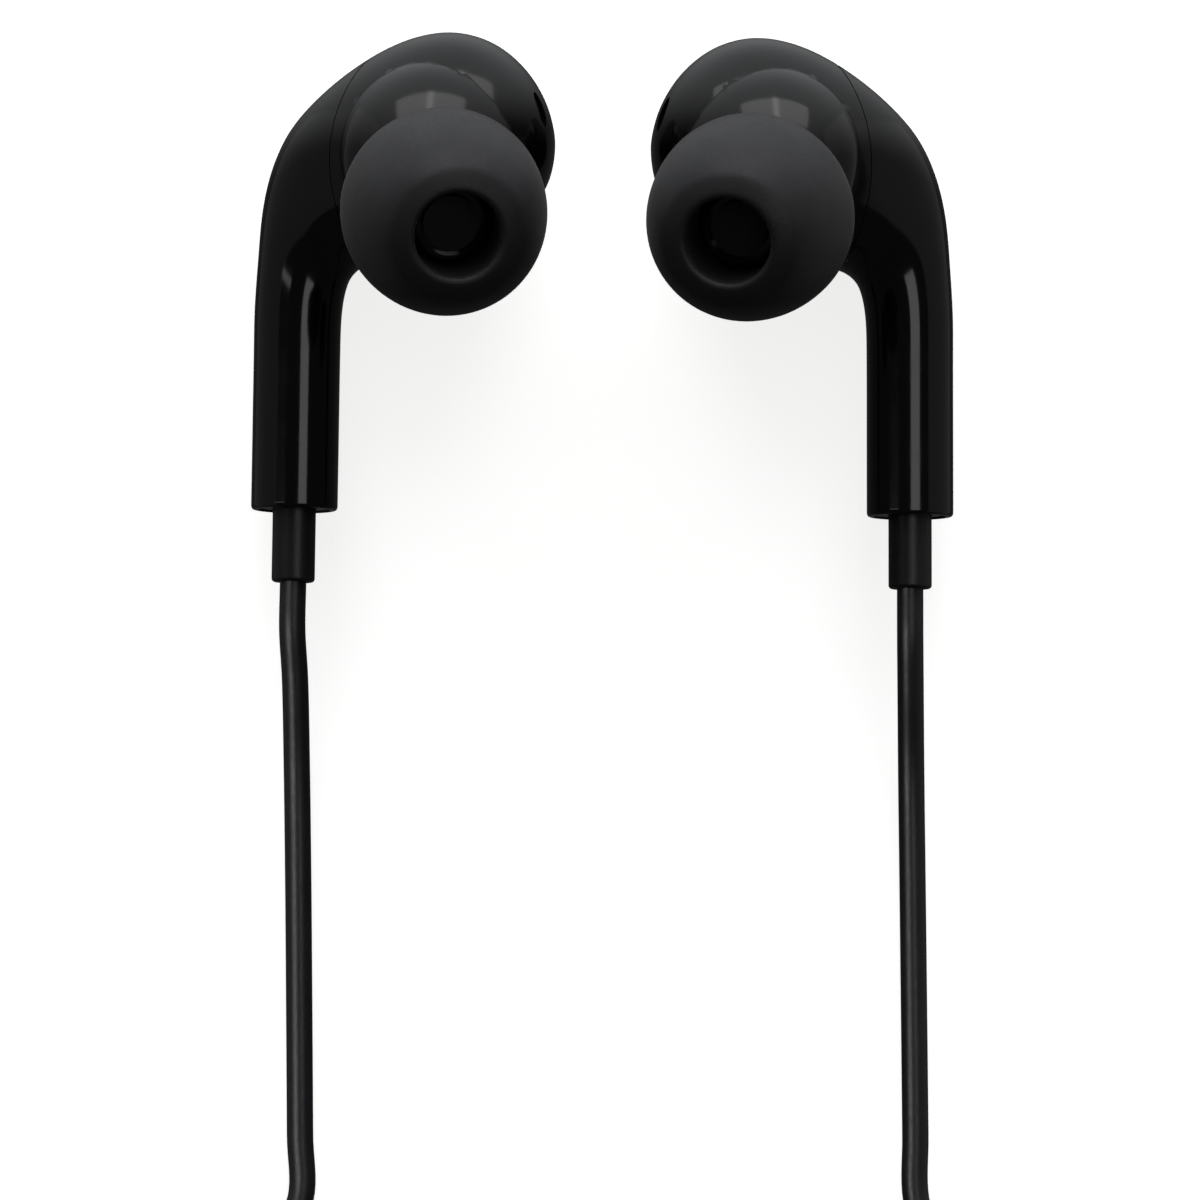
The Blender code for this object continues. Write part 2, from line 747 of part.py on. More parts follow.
def coil_level():
    """The lowest point of a coil's turns, which rest on their tie."""
    return TIE_THICKNESS + GAP


def coil_size(diameter, columns, layers, cord):
    """Inner radius, outer radius and height of a coil's bundle of turns."""
    half = columns * cord / 2
    return diameter / 2 - half, diameter / 2 + half, layers * cord


def lead_coil():
    return coil_size(LEAD_COIL_DIAMETER, LEAD_COIL_COLUMNS, LEAD_COIL_LAYERS, LEAD_DIAMETER)


def trunk_coil():
    return coil_size(TRUNK_COIL_DIAMETER, TRUNK_COIL_COLUMNS, TRUNK_COIL_LAYERS, TRUNK_DIAMETER)


def make_coil(name, centre, size, tie_angle, materials):
    """The solid of a coil's outer shape, and the tie round its turns."""
    inner, outer, height = size
    level = coil_level()
    bevel = COIL_EDGE
    profile = [
        *rounded_end(outer, level + height, bevel, 2),
        (outer, level + bevel),
        (outer - bevel, level),
        (inner + bevel, level),
        (inner, level + bevel),
        (inner, level + height - bevel),
        (inner + bevel, level + height),
    ]
    place = shift(*centre, 0)
    finish(f"{name}_coil", turned(profile, 28), materials["cable"], None, place)
    middle = (inner + outer) / 2
    half = (outer - inner) / 2 + GAP
    bm = bmesh.new()
    outside = []
    inside = []
    for x, z in ((-1, 0), (1, 0), (1, 1), (-1, 1)):
        inside.append((x * half, z * (height + 2 * GAP) + level - GAP))
        outside.append(
            (
                x * (half + TIE_THICKNESS),
                z * (height + 2 * GAP + 2 * TIE_THICKNESS) + level - GAP - TIE_THICKNESS,
            )
        )
    for y in (-TIE_WIDTH / 2, TIE_WIDTH / 2):
        for outline in (outside, inside):
            ring_of(bm, [(x, y, z) for x, z in outline])
    verts = list(bm.verts)
    for start in (0, 4):
        for index in range(4):
            after = (index + 1) % 4
            a, b = start + index, start + after
            bm.faces.new((verts[a], verts[b], verts[8 + b], verts[8 + a]))
    for index in range(4):
        after = (index + 1) % 4
        for end in (0, 8):
            corners = (end + index, end + after, end + 4 + after, end + 4 + index)
            bm.faces.new([verts[corner] for corner in corners])
    bmesh.ops.translate(bm, vec=(middle, 0, 0), verts=bm.verts)
    turn = Matrix.Rotation(radians(tie_angle), 3, "Z")
    finish(f"{name}_tie", bm, materials["hook_tie"], None, shift(*centre, 0, turn))


def lead_to_coil(name):
    """The seen lead: out of the strain relief, down to the surface and along it to its coil."""
    side = INNER_SIDE[name]
    rest = LEAD_DIAMETER / 2
    exit_height = cable_exit(name, 0).z
    inner, outer, _ = lead_coil()
    track = outer - LEAD_DIAMETER / 2
    centre_x, centre_y = -side * LEAD_COIL_CENTRE[0], LEAD_COIL_CENTRE[1]
    stop = (outer**2 - inner_edge(outer) ** 2) ** 0.5 + GAP
    seen_x = SEEN_LEAD_X[name]
    return [
        tuple(cable_exit(name, GAP)),
        tuple(cable_exit(name, 3.0)),
        (seen_x[0], cable_exit(name, 6.0).y, exit_height * 0.72 + rest * 0.28),
        (seen_x[1], -31.0, rest + 0.30),
        (seen_x[2], -38.0, rest + 0.04),
        (seen_x[3], -47.0, rest + 0.02),
        (seen_x[4], -53.5, rest + 0.02),
        (seen_x[5], -57.5, rest + 0.04),
        (centre_x - side * (track - 1.5), -61.9, rest + coil_level() / 2),
        (centre_x - side * track, centre_y + stop + 1.5, coil_level() + rest),
        (centre_x - side * track, centre_y + stop, coil_level() + rest),
    ]


def inner_edge(outer, cord=LEAD_DIAMETER):
    """Distance from a coil's centre to the inner side of its outermost turn."""
    return outer - cord


def lead_to_split(name):
    """From the lead's coil to its hole in the split."""
    side = INNER_SIDE[name]
    rest = LEAD_DIAMETER / 2
    centre_x, centre_y = -side * LEAD_COIL_CENTRE[0], LEAD_COIL_CENTRE[1]
    middle = SPLIT_THICKNESS / 2
    return [
        (centre_x + side * 1.2, centre_y - 13.2, rest + 1.4),
        (centre_x + side * 4.6, centre_y - 14.3, rest + 0.4),
        (centre_x + side * 7.6, centre_y - 15.1, rest + 0.05),
        (-side * (LEAD_SPACING + 0.75), SPLIT_TOP + 3.9, rest + 0.35),
        (-side * LEAD_SPACING, SPLIT_TOP + 1.8, middle),
        (-side * LEAD_SPACING, SPLIT_TOP + GAP, middle),
    ]


def make_split(materials):
    """The moulded piece where the two leads join the trunk."""
    middle = SPLIT_THICKNESS / 2
    rings = []
    stations = [
        (0.0, SPLIT_HALF_WIDTH - 0.35, middle - 0.3),
        (0.4, SPLIT_HALF_WIDTH, middle),
        (SPLIT_LENGTH * 0.4, SPLIT_HALF_WIDTH, middle),
        (SPLIT_LENGTH * 0.7, SPLIT_HALF_WIDTH * 0.72, middle),
        (SPLIT_LENGTH - 0.3, TRUNK_DIAMETER / 2 + 0.55, middle),
        (SPLIT_LENGTH, TRUNK_DIAMETER / 2 + 0.3, middle - 0.25),
    ]
    for along, half_width, half_height in stations:
        corner = min(half_height, half_width) * 0.45
        ring = []
        for x, z in ((1, 1), (-1, 1), (-1, -1), (1, -1)):
            start = {(1, 1): 0, (-1, 1): 90, (-1, -1): 180, (1, -1): 270}[(x, z)]
            for step in range(4):
                angle = radians(start + step * 30)
                ring.append(
                    (
                        x * (half_width - corner) + corner * cos(angle),
                        SPLIT_TOP - along,
                        middle + z * (half_height - corner) + corner * sin(angle),
                    )
                )
        rings.append(ring)
    finish("y_split", loft(rings), materials["rubber"])


def trunk_to_coil():
    rest = TRUNK_DIAMETER / 2
    _, outer, _ = trunk_coil()
    track = outer - rest
    stop = (outer**2 - inner_edge(outer, TRUNK_DIAMETER) ** 2) ** 0.5 + GAP
    centre_x, centre_y = TRUNK_COIL_CENTRE
    bottom = SPLIT_TOP - SPLIT_LENGTH
    return [
        (0.0, bottom - GAP, SPLIT_THICKNESS / 2),
        (0.0, bottom - 1.6, SPLIT_THICKNESS / 2),
        (-1.3, bottom - 4.6, rest + 0.5),
        (centre_x - track + 0.1, centre_y + stop + 2.2, rest + coil_level() * 0.9),
        (centre_x - track, centre_y + stop, coil_level() + rest),
    ]


def trunk_to_plug():
    """From the coil's top layer round to the plug's tail."""
    rest = TRUNK_DIAMETER / 2
    _, outer, height = trunk_coil()
    centre_x, centre_y = TRUNK_COIL_CENTRE
    tail_x, tail_y = PLUG_TAIL
    left = centre_x - outer
    return [
        (left - 0.2, centre_y - 8.6, coil_level() + height - rest - 1.0),
        (left - 0.2, centre_y - 11.8, 4.4),
        (left - 1.2, centre_y - 15.2, 2.0),
        (left - 4.6, centre_y - 17.6, rest + 0.1),
        (tail_x + 3.0, tail_y - 7.2, rest + 0.1),
        (tail_x + 0.6, tail_y - 4.9, rest + 0.8),
        (tail_x, tail_y - 2.2, PLUG_GRIP_RADIUS - 0.2),
        (tail_x, tail_y - GAP, PLUG_GRIP_RADIUS),
    ]


def make_cable(materials):
    cable = materials["cable"]
    for name in ("left", "right"):
        side = INNER_SIDE[name]
        for label, route in (("lead", lead_to_coil(name)), ("lead_tail", lead_to_split(name))):
            points = evenly(spline(route, 8), POINT_SPACING * LEAD_DIAMETER)
            metres = [point * MM for point in points]
            tube_object(f"{name}_{label}", metres, LEAD_DIAMETER, cable)
        centre = (-side * LEAD_COIL_CENTRE[0], LEAD_COIL_CENTRE[1])
        make_coil(f"{name}_lead", centre, lead_coil(), 90, materials)
    make_split(materials)
    for label, route in (("trunk", trunk_to_coil()), ("trunk_tail", trunk_to_plug())):
        points = evenly(spline(route, 8), POINT_SPACING * TRUNK_DIAMETER)
        tube_object(label, [point * MM for point in points], TRUNK_DIAMETER, cable)
    make_coil("trunk", TRUNK_COIL_CENTRE, trunk_coil(), 90, materials)


def make_plug(materials):
    """Relief, grip and the three contacts of a stereo pin, in order along +Y."""
    along = Vector((0, 1, 0)).to_track_quat("Z", "X").to_matrix()
    place = shift(*PLUG_TAIL, PLUG_GRIP_RADIUS, along)
    relief_top = PLUG_RELIEF_LENGTH
    relief = [
        (PLUG_RELIEF_RADIUS, relief_top),
        (0, relief_top),
        (0, 0),
        (TRUNK_DIAMETER / 2 + 0.35, 0),
        (TRUNK_DIAMETER / 2 + 0.5, 0.3),
    ]
    finish("plug_strain_relief", turned(relief, 16), materials["rubber"], None, place)
    grip_bottom = relief_top + GAP
    grip_top = grip_bottom + PLUG_GRIP_LENGTH
    grip = [
        *rounded_end(PLUG_GRIP_RADIUS, grip_top, 0.3, 2)[1:],
        (PLUG_GRIP_RADIUS, grip_bottom + 2.2),
        (PLUG_GRIP_RADIUS - 0.7, grip_bottom + 0.3),
        (PLUG_GRIP_RADIUS - 1.0, grip_bottom),
        (0, grip_bottom),
        (0, grip_top - PIN_CORE_DEPTH),
        (PIN_CORE_RADIUS + GAP, grip_top - PIN_CORE_DEPTH),
        (PIN_CORE_RADIUS + GAP, grip_top - PIN_SEAT_DEPTH),
        (PIN_RADIUS + GAP, grip_top - PIN_SEAT_DEPTH),
        (PIN_RADIUS + GAP, grip_top),
        (PLUG_GRIP_RADIUS - 0.3, grip_top),
    ]
    finish("plug_grip", turned(grip, 24), materials["rubber"], None, place)
    hole = PIN_CORE_RADIUS + GAP
    tip_start = grip_top + PIN_LENGTH - PIN_TIP_LENGTH
    ring_top = tip_start - GAP - INSULATOR_LENGTH - GAP
    ring_bottom = ring_top - PIN_RING_LENGTH
    sleeve_top = ring_bottom - GAP - INSULATOR_LENGTH - GAP
    pieces = [
        ("plug_sleeve_contact", PIN_RADIUS, grip_top - PIN_SEAT_DEPTH + GAP, sleeve_top, "gold"),
        ("plug_rear_insulator", PIN_RADIUS - 0.05, sleeve_top + GAP, ring_bottom - GAP, "insulator"),
        ("plug_ring_contact", PIN_RADIUS, ring_bottom, ring_top, "gold"),
        ("plug_front_insulator", PIN_RADIUS - 0.05, ring_top + GAP, tip_start - GAP, "insulator"),
    ]
    for name, radius, bottom, top, material in pieces:
        finish(name, turned(tube_wall(hole, radius, bottom, top), 18), materials[material], None, place)
    tip = [
        (PIN_RADIUS - 0.25, tip_start + 0.5),
        (PIN_RADIUS, tip_start + 0.2),
        (PIN_RADIUS, tip_start),
        (PIN_CORE_RADIUS, tip_start),
        (PIN_CORE_RADIUS, grip_top - PIN_CORE_DEPTH + GAP),
        (0, grip_top - PIN_CORE_DEPTH + GAP),
        (0, tip_start + PIN_TIP_LENGTH),
        (0.5, tip_start + PIN_TIP_LENGTH - 0.15),
        (PIN_RADIUS - 0.05, tip_start + 1.9),
        (PIN_RADIUS - 0.05, tip_start + 1.6),
        (PIN_RADIUS - 0.45, tip_start + 1.0),
    ]
    finish("plug_tip_contact", turned(tip, 18), materials["gold"], None, place)


def main():
    clear_scene()
    materials = make_materials()
    for name in ("left", "right"):
        make_earphone(name, materials)
    make_cable(materials)
    make_plug(materials)


main()
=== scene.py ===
import json
import math

import bmesh
import bpy
from mathutils import Matrix, Vector

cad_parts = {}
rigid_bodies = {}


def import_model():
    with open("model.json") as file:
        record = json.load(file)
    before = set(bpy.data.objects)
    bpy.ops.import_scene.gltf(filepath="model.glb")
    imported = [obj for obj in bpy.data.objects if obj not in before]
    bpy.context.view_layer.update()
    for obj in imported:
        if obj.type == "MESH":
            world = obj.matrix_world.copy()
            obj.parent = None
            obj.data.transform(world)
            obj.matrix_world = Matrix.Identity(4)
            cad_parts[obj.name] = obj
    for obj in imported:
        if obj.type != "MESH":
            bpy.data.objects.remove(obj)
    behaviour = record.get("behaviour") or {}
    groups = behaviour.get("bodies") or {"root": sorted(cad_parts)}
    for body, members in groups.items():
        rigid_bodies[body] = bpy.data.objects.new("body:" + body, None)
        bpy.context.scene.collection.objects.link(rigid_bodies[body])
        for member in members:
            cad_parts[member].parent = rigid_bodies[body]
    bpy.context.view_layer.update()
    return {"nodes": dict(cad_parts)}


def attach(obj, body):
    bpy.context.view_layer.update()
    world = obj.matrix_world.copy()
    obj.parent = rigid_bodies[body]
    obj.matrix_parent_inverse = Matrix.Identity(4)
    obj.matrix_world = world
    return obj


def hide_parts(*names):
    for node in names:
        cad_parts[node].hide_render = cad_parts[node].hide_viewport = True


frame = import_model()

mm = 0.001
body = "housings_and_cable"


def deselectAll():
    if bpy.context.mode != "OBJECT":
        bpy.ops.object.mode_set(mode="OBJECT")
    bpy.ops.object.select_all(action="DESELECT")


def pick(obj):
    deselectAll()
    obj.select_set(True)
    bpy.context.view_layer.objects.active = obj


def rename(obj, name):
    obj.name = name
    obj.data.name = name
    return obj


def applyModifiers(obj):
    pick(obj)
    for modifier in list(obj.modifiers):
        bpy.ops.object.modifier_apply(modifier=modifier.name)


def catmull(points, steps):
    # smooth curve through the points, spaced by the square root of their distance
    rows = [Vector(point) for point in points]
    rows = [2 * rows[0] - rows[1], *rows, 2 * rows[-1] - rows[-2]]
    curve = []
    for p0, p1, p2, p3 in zip(rows, rows[1:], rows[2:], rows[3:]):
        t0 = 0.0
        t1 = t0 + (p1 - p0).length ** 0.5
        t2 = t1 + (p2 - p1).length ** 0.5
        t3 = t2 + (p3 - p2).length ** 0.5
        for step in range(steps):
            t = t1 + (t2 - t1) * step / steps
            a1 = p0 * ((t1 - t) / (t1 - t0)) + p1 * ((t - t0) / (t1 - t0))
            a2 = p1 * ((t2 - t) / (t2 - t1)) + p2 * ((t - t1) / (t2 - t1))
            a3 = p2 * ((t3 - t) / (t3 - t2)) + p3 * ((t - t2) / (t3 - t2))
            b1 = a1 * ((t2 - t) / (t2 - t0)) + a2 * ((t - t0) / (t2 - t0))
            b2 = a2 * ((t3 - t) / (t3 - t1)) + a3 * ((t - t1) / (t3 - t1))
            curve.append(b1 * ((t2 - t) / (t2 - t1)) + b2 * ((t - t1) / (t2 - t1)))
    curve.append(rows[-2])
    return curve


def pathLength(points):
    return sum((after - before).length for before, after in zip(points, points[1:]))


# straight above the flat-laid pair, tipped a little towards the cables
view = {"target": (-0.000125, -0.0200, 0.0), "elevation": 85.5, "lens": 500.0, "width": 0.075}


def makeCamera():
    distance = view["width"] * view["lens"] / 36.0
    up = math.radians(view["elevation"])
    x, y, z = view["target"]
    place = (x, y - distance * math.cos(up), z + distance * math.sin(up))
    bpy.ops.object.camera_add(location=place, rotation=(math.pi / 2 - up, 0, 0))
    camera = bpy.context.object
    camera.name = "topCamera"
    camera.data.lens = view["lens"]
    camera.data.sensor_width = 36.0
    camera.data.clip_start = 0.01
    camera.data.clip_end = 10.0
    bpy.context.scene.camera = camera


deselectAll()
makeCamera()
print("camera made")


lead = {
    "diameter": 1.65,
    "outerTrack": 10.35,
    "lowest": 0.65,
    "spiralAngle": 708.3,
    "riseAngle": 80.0,
    "layers": 2,
}
leadPlaces = {
    "left": {
        "exit": (-19.258, -19.098, 2.733),
        "coil": (-12.0, -73.5),
        "turns": 1,
        "seen": [
            (-19.235, -17.6, 2.733), (-19.263, -19.398, 2.733), (-19.305, -22.097, 2.733),
            (-19.14, -25.097, 2.199), (-19.03, -31.0, 1.125), (-18.94, -38.0, 0.865),
            (-18.86, -47.0, 0.845), (-18.81, -53.5, 0.845), (-18.78, -57.5, 0.865),
            (-20.85, -61.9, 1.15), (-22.25, -65.856, 1.475),
        ],
        "tail": [
            (-10.8, -86.7, 2.225), (-7.4, -87.8, 1.225), (-4.4, -88.6, 0.875),
            (-2.1, -90.1, 1.175), (-1.35, -92.2, 1.7), (-1.35, -93.7, 1.7), (-1.35, -95.0, 1.7),
        ],
    },
    "right": {
        "exit": (19.2, -19.56, 3.23),
        "coil": (12.0, -73.5),
        "turns": -1,
        "seen": [
            (19.2, -18.0, 3.23), (19.2, -19.86, 3.23), (19.2, -22.56, 3.23),
            (19.23, -25.56, 2.557), (19.29, -31.0, 1.125), (19.37, -38.0, 0.865),
            (19.46, -47.0, 0.845), (19.52, -53.5, 0.845), (19.56, -57.5, 0.865),
            (20.85, -61.9, 1.15), (22.25, -65.856, 1.475),
        ],
        "tail": [
            (10.8, -86.7, 2.225), (7.4, -87.8, 1.225), (4.4, -88.6, 0.875),
            (2.1, -90.1, 1.175), (1.35, -92.2, 1.7), (1.35, -93.7, 1.7), (1.35, -95.0, 1.7),
        ],
    },
}
trunk = {
    "diameter": 2.0,
    "outerTrack": 14.0,
    "lowest": 0.65,
    "spiralAngle": 1018.2,
    "riseAngle": 80.0,
    "layers": 4,
    "exit": (0.0, -106.0, 1.7),
    "coil": (10.0, -124.5),
    "turns": 1,
    "seen": [
        (0.0, -104.6, 1.7), (0.0, -106.3, 1.7), (0.0, -107.6, 1.7), (-1.3, -110.6, 1.5),
        (-3.6, -114.517, 1.585), (-3.98, -118.0, 1.65),
    ],
    "tail": [
        (-5.2, -133.1, 6.65), (-5.2, -136.3, 4.4), (-6.2, -139.7, 2.0), (-9.6, -142.1, 1.1),
        (-14.0, -139.7, 1.1), (-16.4, -137.4, 1.8), (-17.0, -134.7, 2.8), (-17.0, -132.8, 3.0),
        (-17.0, -131.2, 3.0),
    ],
}


def coilPath(cord, centre, turns):
    # layer by layer: in towards the middle, up by a diameter, and out again on top
    points = []
    step = 7.5  # degrees between points
    angle = 0.0
    radius = cord["outerTrack"]
    level = cord["lowest"] + cord["diameter"] / 2
    inwards = -1
    for layer in range(cord["layers"]):
        count = round(cord["spiralAngle"] / step)
        start = radius
        for index in range(count + 1):
            part = index / count * cord["spiralAngle"]
            radius = start + inwards * cord["diameter"] * part / 360
            points.append((angle + part, radius, level))
        angle += cord["spiralAngle"]
        inwards = -inwards
        if layer == cord["layers"] - 1:
            break
        count = round(cord["riseAngle"] / step)
        for index in range(1, count):
            share = index / count
            eased = share * share * (3 - 2 * share)
            turned = angle + share * cord["riseAngle"]
            points.append((turned, radius, level + eased * cord["diameter"]))
        angle += cord["riseAngle"]
        level += cord["diameter"]
    placed = []
    for turned, radius, level in points:
        around = math.radians(180 + turned)
        placed.append((
            centre[0] + turns * radius * math.cos(around),
            centre[1] + radius * math.sin(around),
            level,
        ))
    return placed


def cordPath(cord, places):
    coil = coilPath(cord, places["coil"], places["turns"])
    before = catmull([*places["seen"], *coil[:3]], 8)[:-16]
    after = catmull([*coil[-3:], *places["tail"]], 8)[17:]
    return [point * mm for point in [*before, *map(Vector, coil), *after]]


def makeCord(name, cord, places):
    points = cordPath(cord, places)
    curve = bpy.data.curves.new(name, "CURVE")
    curve.dimensions = "3D"
    curve.bevel_depth = cord["diameter"] / 2  # each point's radius of 0.001 brings it to size
    curve.bevel_resolution = 4
    curve.use_fill_caps = True
    spline = curve.splines.new("POLY")
    spline.points.add(len(points) - 1)
    for slot, point in zip(spline.points, points):
        slot.co = (*point, 1.0)
        slot.radius = mm
    spline.use_smooth = True
    piece = bpy.data.objects.new(name, curve)
    bpy.context.scene.collection.objects.link(piece)
    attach(piece, body)
    return piece, pathLength(points)


cords = {}
for side, places in leadPlaces.items():
    piece, length = makeCord(f"{side}LeadCord", lead, places)
    cords[side] = (piece, length, places)
    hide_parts(f"{side}_lead", f"{side}_lead_coil", f"{side}_lead_tail")
    print(f"{side} lead {length:.3f} m")
trunkPiece, trunkLength = makeCord("trunkCord", trunk, trunk)
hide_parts("trunk", "trunk_coil", "trunk_tail")
print(f"trunk {trunkLength:.3f} m")


def hexColour(text):
    channels = [int(text[start:start + 2], 16) / 255 for start in (1, 3, 5)]
    linear = [c / 12.92 if c <= 0.04045 else ((c + 0.055) / 1.055) ** 2.4 for c in channels]
    return (*linear, 1.0)


def addNode(tree, kind, settings=None, links=None):
    # settings: node properties or socket values by name; links: socket name -> (node, output name)
    node = tree.nodes.new(kind)
    for key, value in (settings or {}).items():
        if key in node.inputs:
            node.inputs[key].default_value = value
        else:
            setattr(node, key, value)
    for key, (source, output) in (links or {}).items():
        tree.links.new(source.outputs[output], node.inputs[key])
    return node


def newMaterial(name):
    material = bpy.data.materials.new(name)
    material.use_nodes = True
    tree = material.node_tree
    tree.nodes.clear()
    return material, tree


def grainedFinish(name, spec):
    # colour drifts between two tones, roughness wanders, and a fine grain lifts the surface
    material, tree = newMaterial(name)
    place = addNode(tree, "ShaderNodeTexCoord")
    mapped = addNode(
        tree, "ShaderNodeMapping", {"Scale": spec.get("stretch", (1, 1, 1))},
        {"Vector": (place, "Object")},
    )
    broad = addNode(
        tree, "ShaderNodeTexNoise",
        {"Scale": 1 / (spec["patchMm"] * mm), "Detail": 3.0, "Roughness": 0.55},
        {"Vector": (mapped, "Vector")},
    )
    fine = addNode(
        tree, "ShaderNodeTexNoise",
        {"Scale": 1 / (spec["grainMm"] * mm), "Detail": 4.0, "Roughness": 0.55},
        {"Vector": (mapped, "Vector")},
    )
    colours = addNode(tree, "ShaderNodeValToRGB", links={"Fac": (broad, "Fac")})
    colours.color_ramp.elements[0].position = 0.3
    colours.color_ramp.elements[0].color = hexColour(spec["dark"])
    colours.color_ramp.elements[1].position = 0.7
    colours.color_ramp.elements[1].color = hexColour(spec["light"])
    rough = addNode(
        tree, "ShaderNodeMapRange",
        {"From Min": 0.3, "From Max": 0.7, "To Min": spec["smooth"], "To Max": spec["rough"]},
        {"Value": (fine, "Fac")},
    )
    bump = addNode(
        tree, "ShaderNodeBump",
        {"Strength": spec["lift"], "Distance": spec["grainMm"] * mm * 0.3},
        {"Height": (fine, "Fac")},
    )
    settings = {"Metallic": spec.get("metallic", 0.0)}
    if not spec.get("metallic"):
        settings["IOR"] = spec.get("ior", 1.5)
    if spec.get("sheen"):
        settings["Sheen Weight"] = spec["sheen"]
        settings["Sheen Roughness"] = 0.4
    shader = addNode(
        tree, "ShaderNodeBsdfPrincipled", settings,
        {
            "Base Color": (colours, "Color"),
            "Roughness": (rough, "Result"),
            "Normal": (bump, "Normal"),
        },
    )
    addNode(tree, "ShaderNodeOutputMaterial", links={"Surface": (shader, "BSDF")})
    return material


# piano-black ABS, moulded in a polished tool: a deep mirror with a faint waviness and the
# odd hazy patch where it has been handled
def makeGlossAbs():
    spec = {"dark": "#050506", "light": "#09090b", "clear": 0.09, "hazy": 0.17, "hazeMm": 5.0,
            "waveMm": 9.0}
    material, tree = newMaterial("pianoBlackAbs")
    place = addNode(tree, "ShaderNodeTexCoord")
    haze = addNode(
        tree, "ShaderNodeTexNoise",
        {"Scale": 1 / (spec["hazeMm"] * mm), "Detail": 4.0, "Roughness": 0.55},
        {"Vector": (place, "Object")},
    )
    colours = addNode(tree, "ShaderNodeValToRGB", links={"Fac": (haze, "Fac")})
    colours.color_ramp.elements[0].color = hexColour(spec["dark"])
    colours.color_ramp.elements[1].color = hexColour(spec["light"])
    rough = addNode(
        tree, "ShaderNodeMapRange",
        {"From Min": 0.35, "From Max": 0.75, "To Min": spec["clear"], "To Max": spec["hazy"]},
        {"Value": (haze, "Fac")},
    )
    wave = addNode(
        tree, "ShaderNodeTexNoise",
        {"Scale": 1 / (spec["waveMm"] * mm), "Detail": 1.0, "Roughness": 0.55},
        {"Vector": (place, "Object")},
    )
    bump = addNode(
        tree, "ShaderNodeBump", {"Strength": 0.12, "Distance": 0.00006}, {"Height": (wave, "Fac")}
    )
    shader = addNode(
        tree, "ShaderNodeBsdfPrincipled", {"IOR": 1.5},
        {
            "Base Color": (colours, "Color"),
            "Roughness": (rough, "Result"),
            "Normal": (bump, "Normal"),
        },
    )
    addNode(tree, "ShaderNodeOutputMaterial", links={"Surface": (shader, "BSDF")})
    return material


# hook-and-loop tie: flat woven nylon, threads 0.4 mm apart
def makeWovenTie():
    material, tree = newMaterial("wovenNylonTie")
    threadPitch = 0.0004
    place = addNode(tree, "ShaderNodeTexCoord")
    threads = []
    for direction in ("X", "Z"):
        threads.append(addNode(
            tree, "ShaderNodeTexWave",
            {"wave_type": "BANDS", "bands_direction": direction, "Scale": 0.5 / threadPitch / 3.14,
             "Distortion": 1.5, "Detail": 1.0},
            {"Vector": (place, "Object")},
        ))
    cross = addNode(
        tree, "ShaderNodeMath", {"operation": "MULTIPLY"},
        {0: (threads[0], "Fac"), 1: (threads[1], "Fac")},
    )
    colours = addNode(tree, "ShaderNodeValToRGB", links={"Fac": (cross, "Value")})
    colours.color_ramp.elements[0].color = hexColour("#0b0b0c")
    colours.color_ramp.elements[1].color = hexColour("#2c2c2f")
    bump = addNode(
        tree, "ShaderNodeBump", {"Strength": 0.6, "Distance": 0.0001}, {"Height": (cross, "Value")}
    )
    shader = addNode(
        tree, "ShaderNodeBsdfPrincipled",
        {"Roughness": 0.82, "IOR": 1.5, "Sheen Weight": 0.3, "Sheen Roughness": 0.5},
        {"Base Color": (colours, "Color"), "Normal": (bump, "Normal")},
    )
    addNode(tree, "ShaderNodeOutputMaterial", links={"Surface": (shader, "BSDF")})
    return material


# acoustic mesh: dyed black wire cloth, its square holes drawn 0.3 mm apart so that they show; the
# holes are painted near-black, painted shade of the space behind the cloth
def makeAcousticMesh():
    material, tree = newMaterial("blackAcousticMesh")
    place = addNode(tree, "ShaderNodeTexCoord")
    holes = addNode(
        tree, "ShaderNodeTexVoronoi",
        {"Scale": 1 / 0.0003, "Randomness": 0.0},
        {"Vector": (place, "Object")},
    )
    colours = addNode(tree, "ShaderNodeValToRGB", links={"Fac": (holes, "Distance")})
    # the cells' middles are the holes: their near-black is painted shade, and the wire's own dyed
    # black lies between them
    colours.color_ramp.elements[0].position = 0.32
    colours.color_ramp.elements[0].color = hexColour("#010101")
    colours.color_ramp.elements[1].position = 0.45
    colours.color_ramp.elements[1].color = hexColour("#0c0c0d")
    bump = addNode(
        tree, "ShaderNodeBump", {"Strength": 0.4, "Distance": 0.00004},
        {"Height": (holes, "Distance")},
    )
    shader = addNode(
        tree, "ShaderNodeBsdfPrincipled", {"Roughness": 0.7, "IOR": 1.45},
        {"Base Color": (colours, "Color"), "Normal": (bump, "Normal")},
    )
    addNode(tree, "ShaderNodeOutputMaterial", links={"Surface": (shader, "BSDF")})
    return material


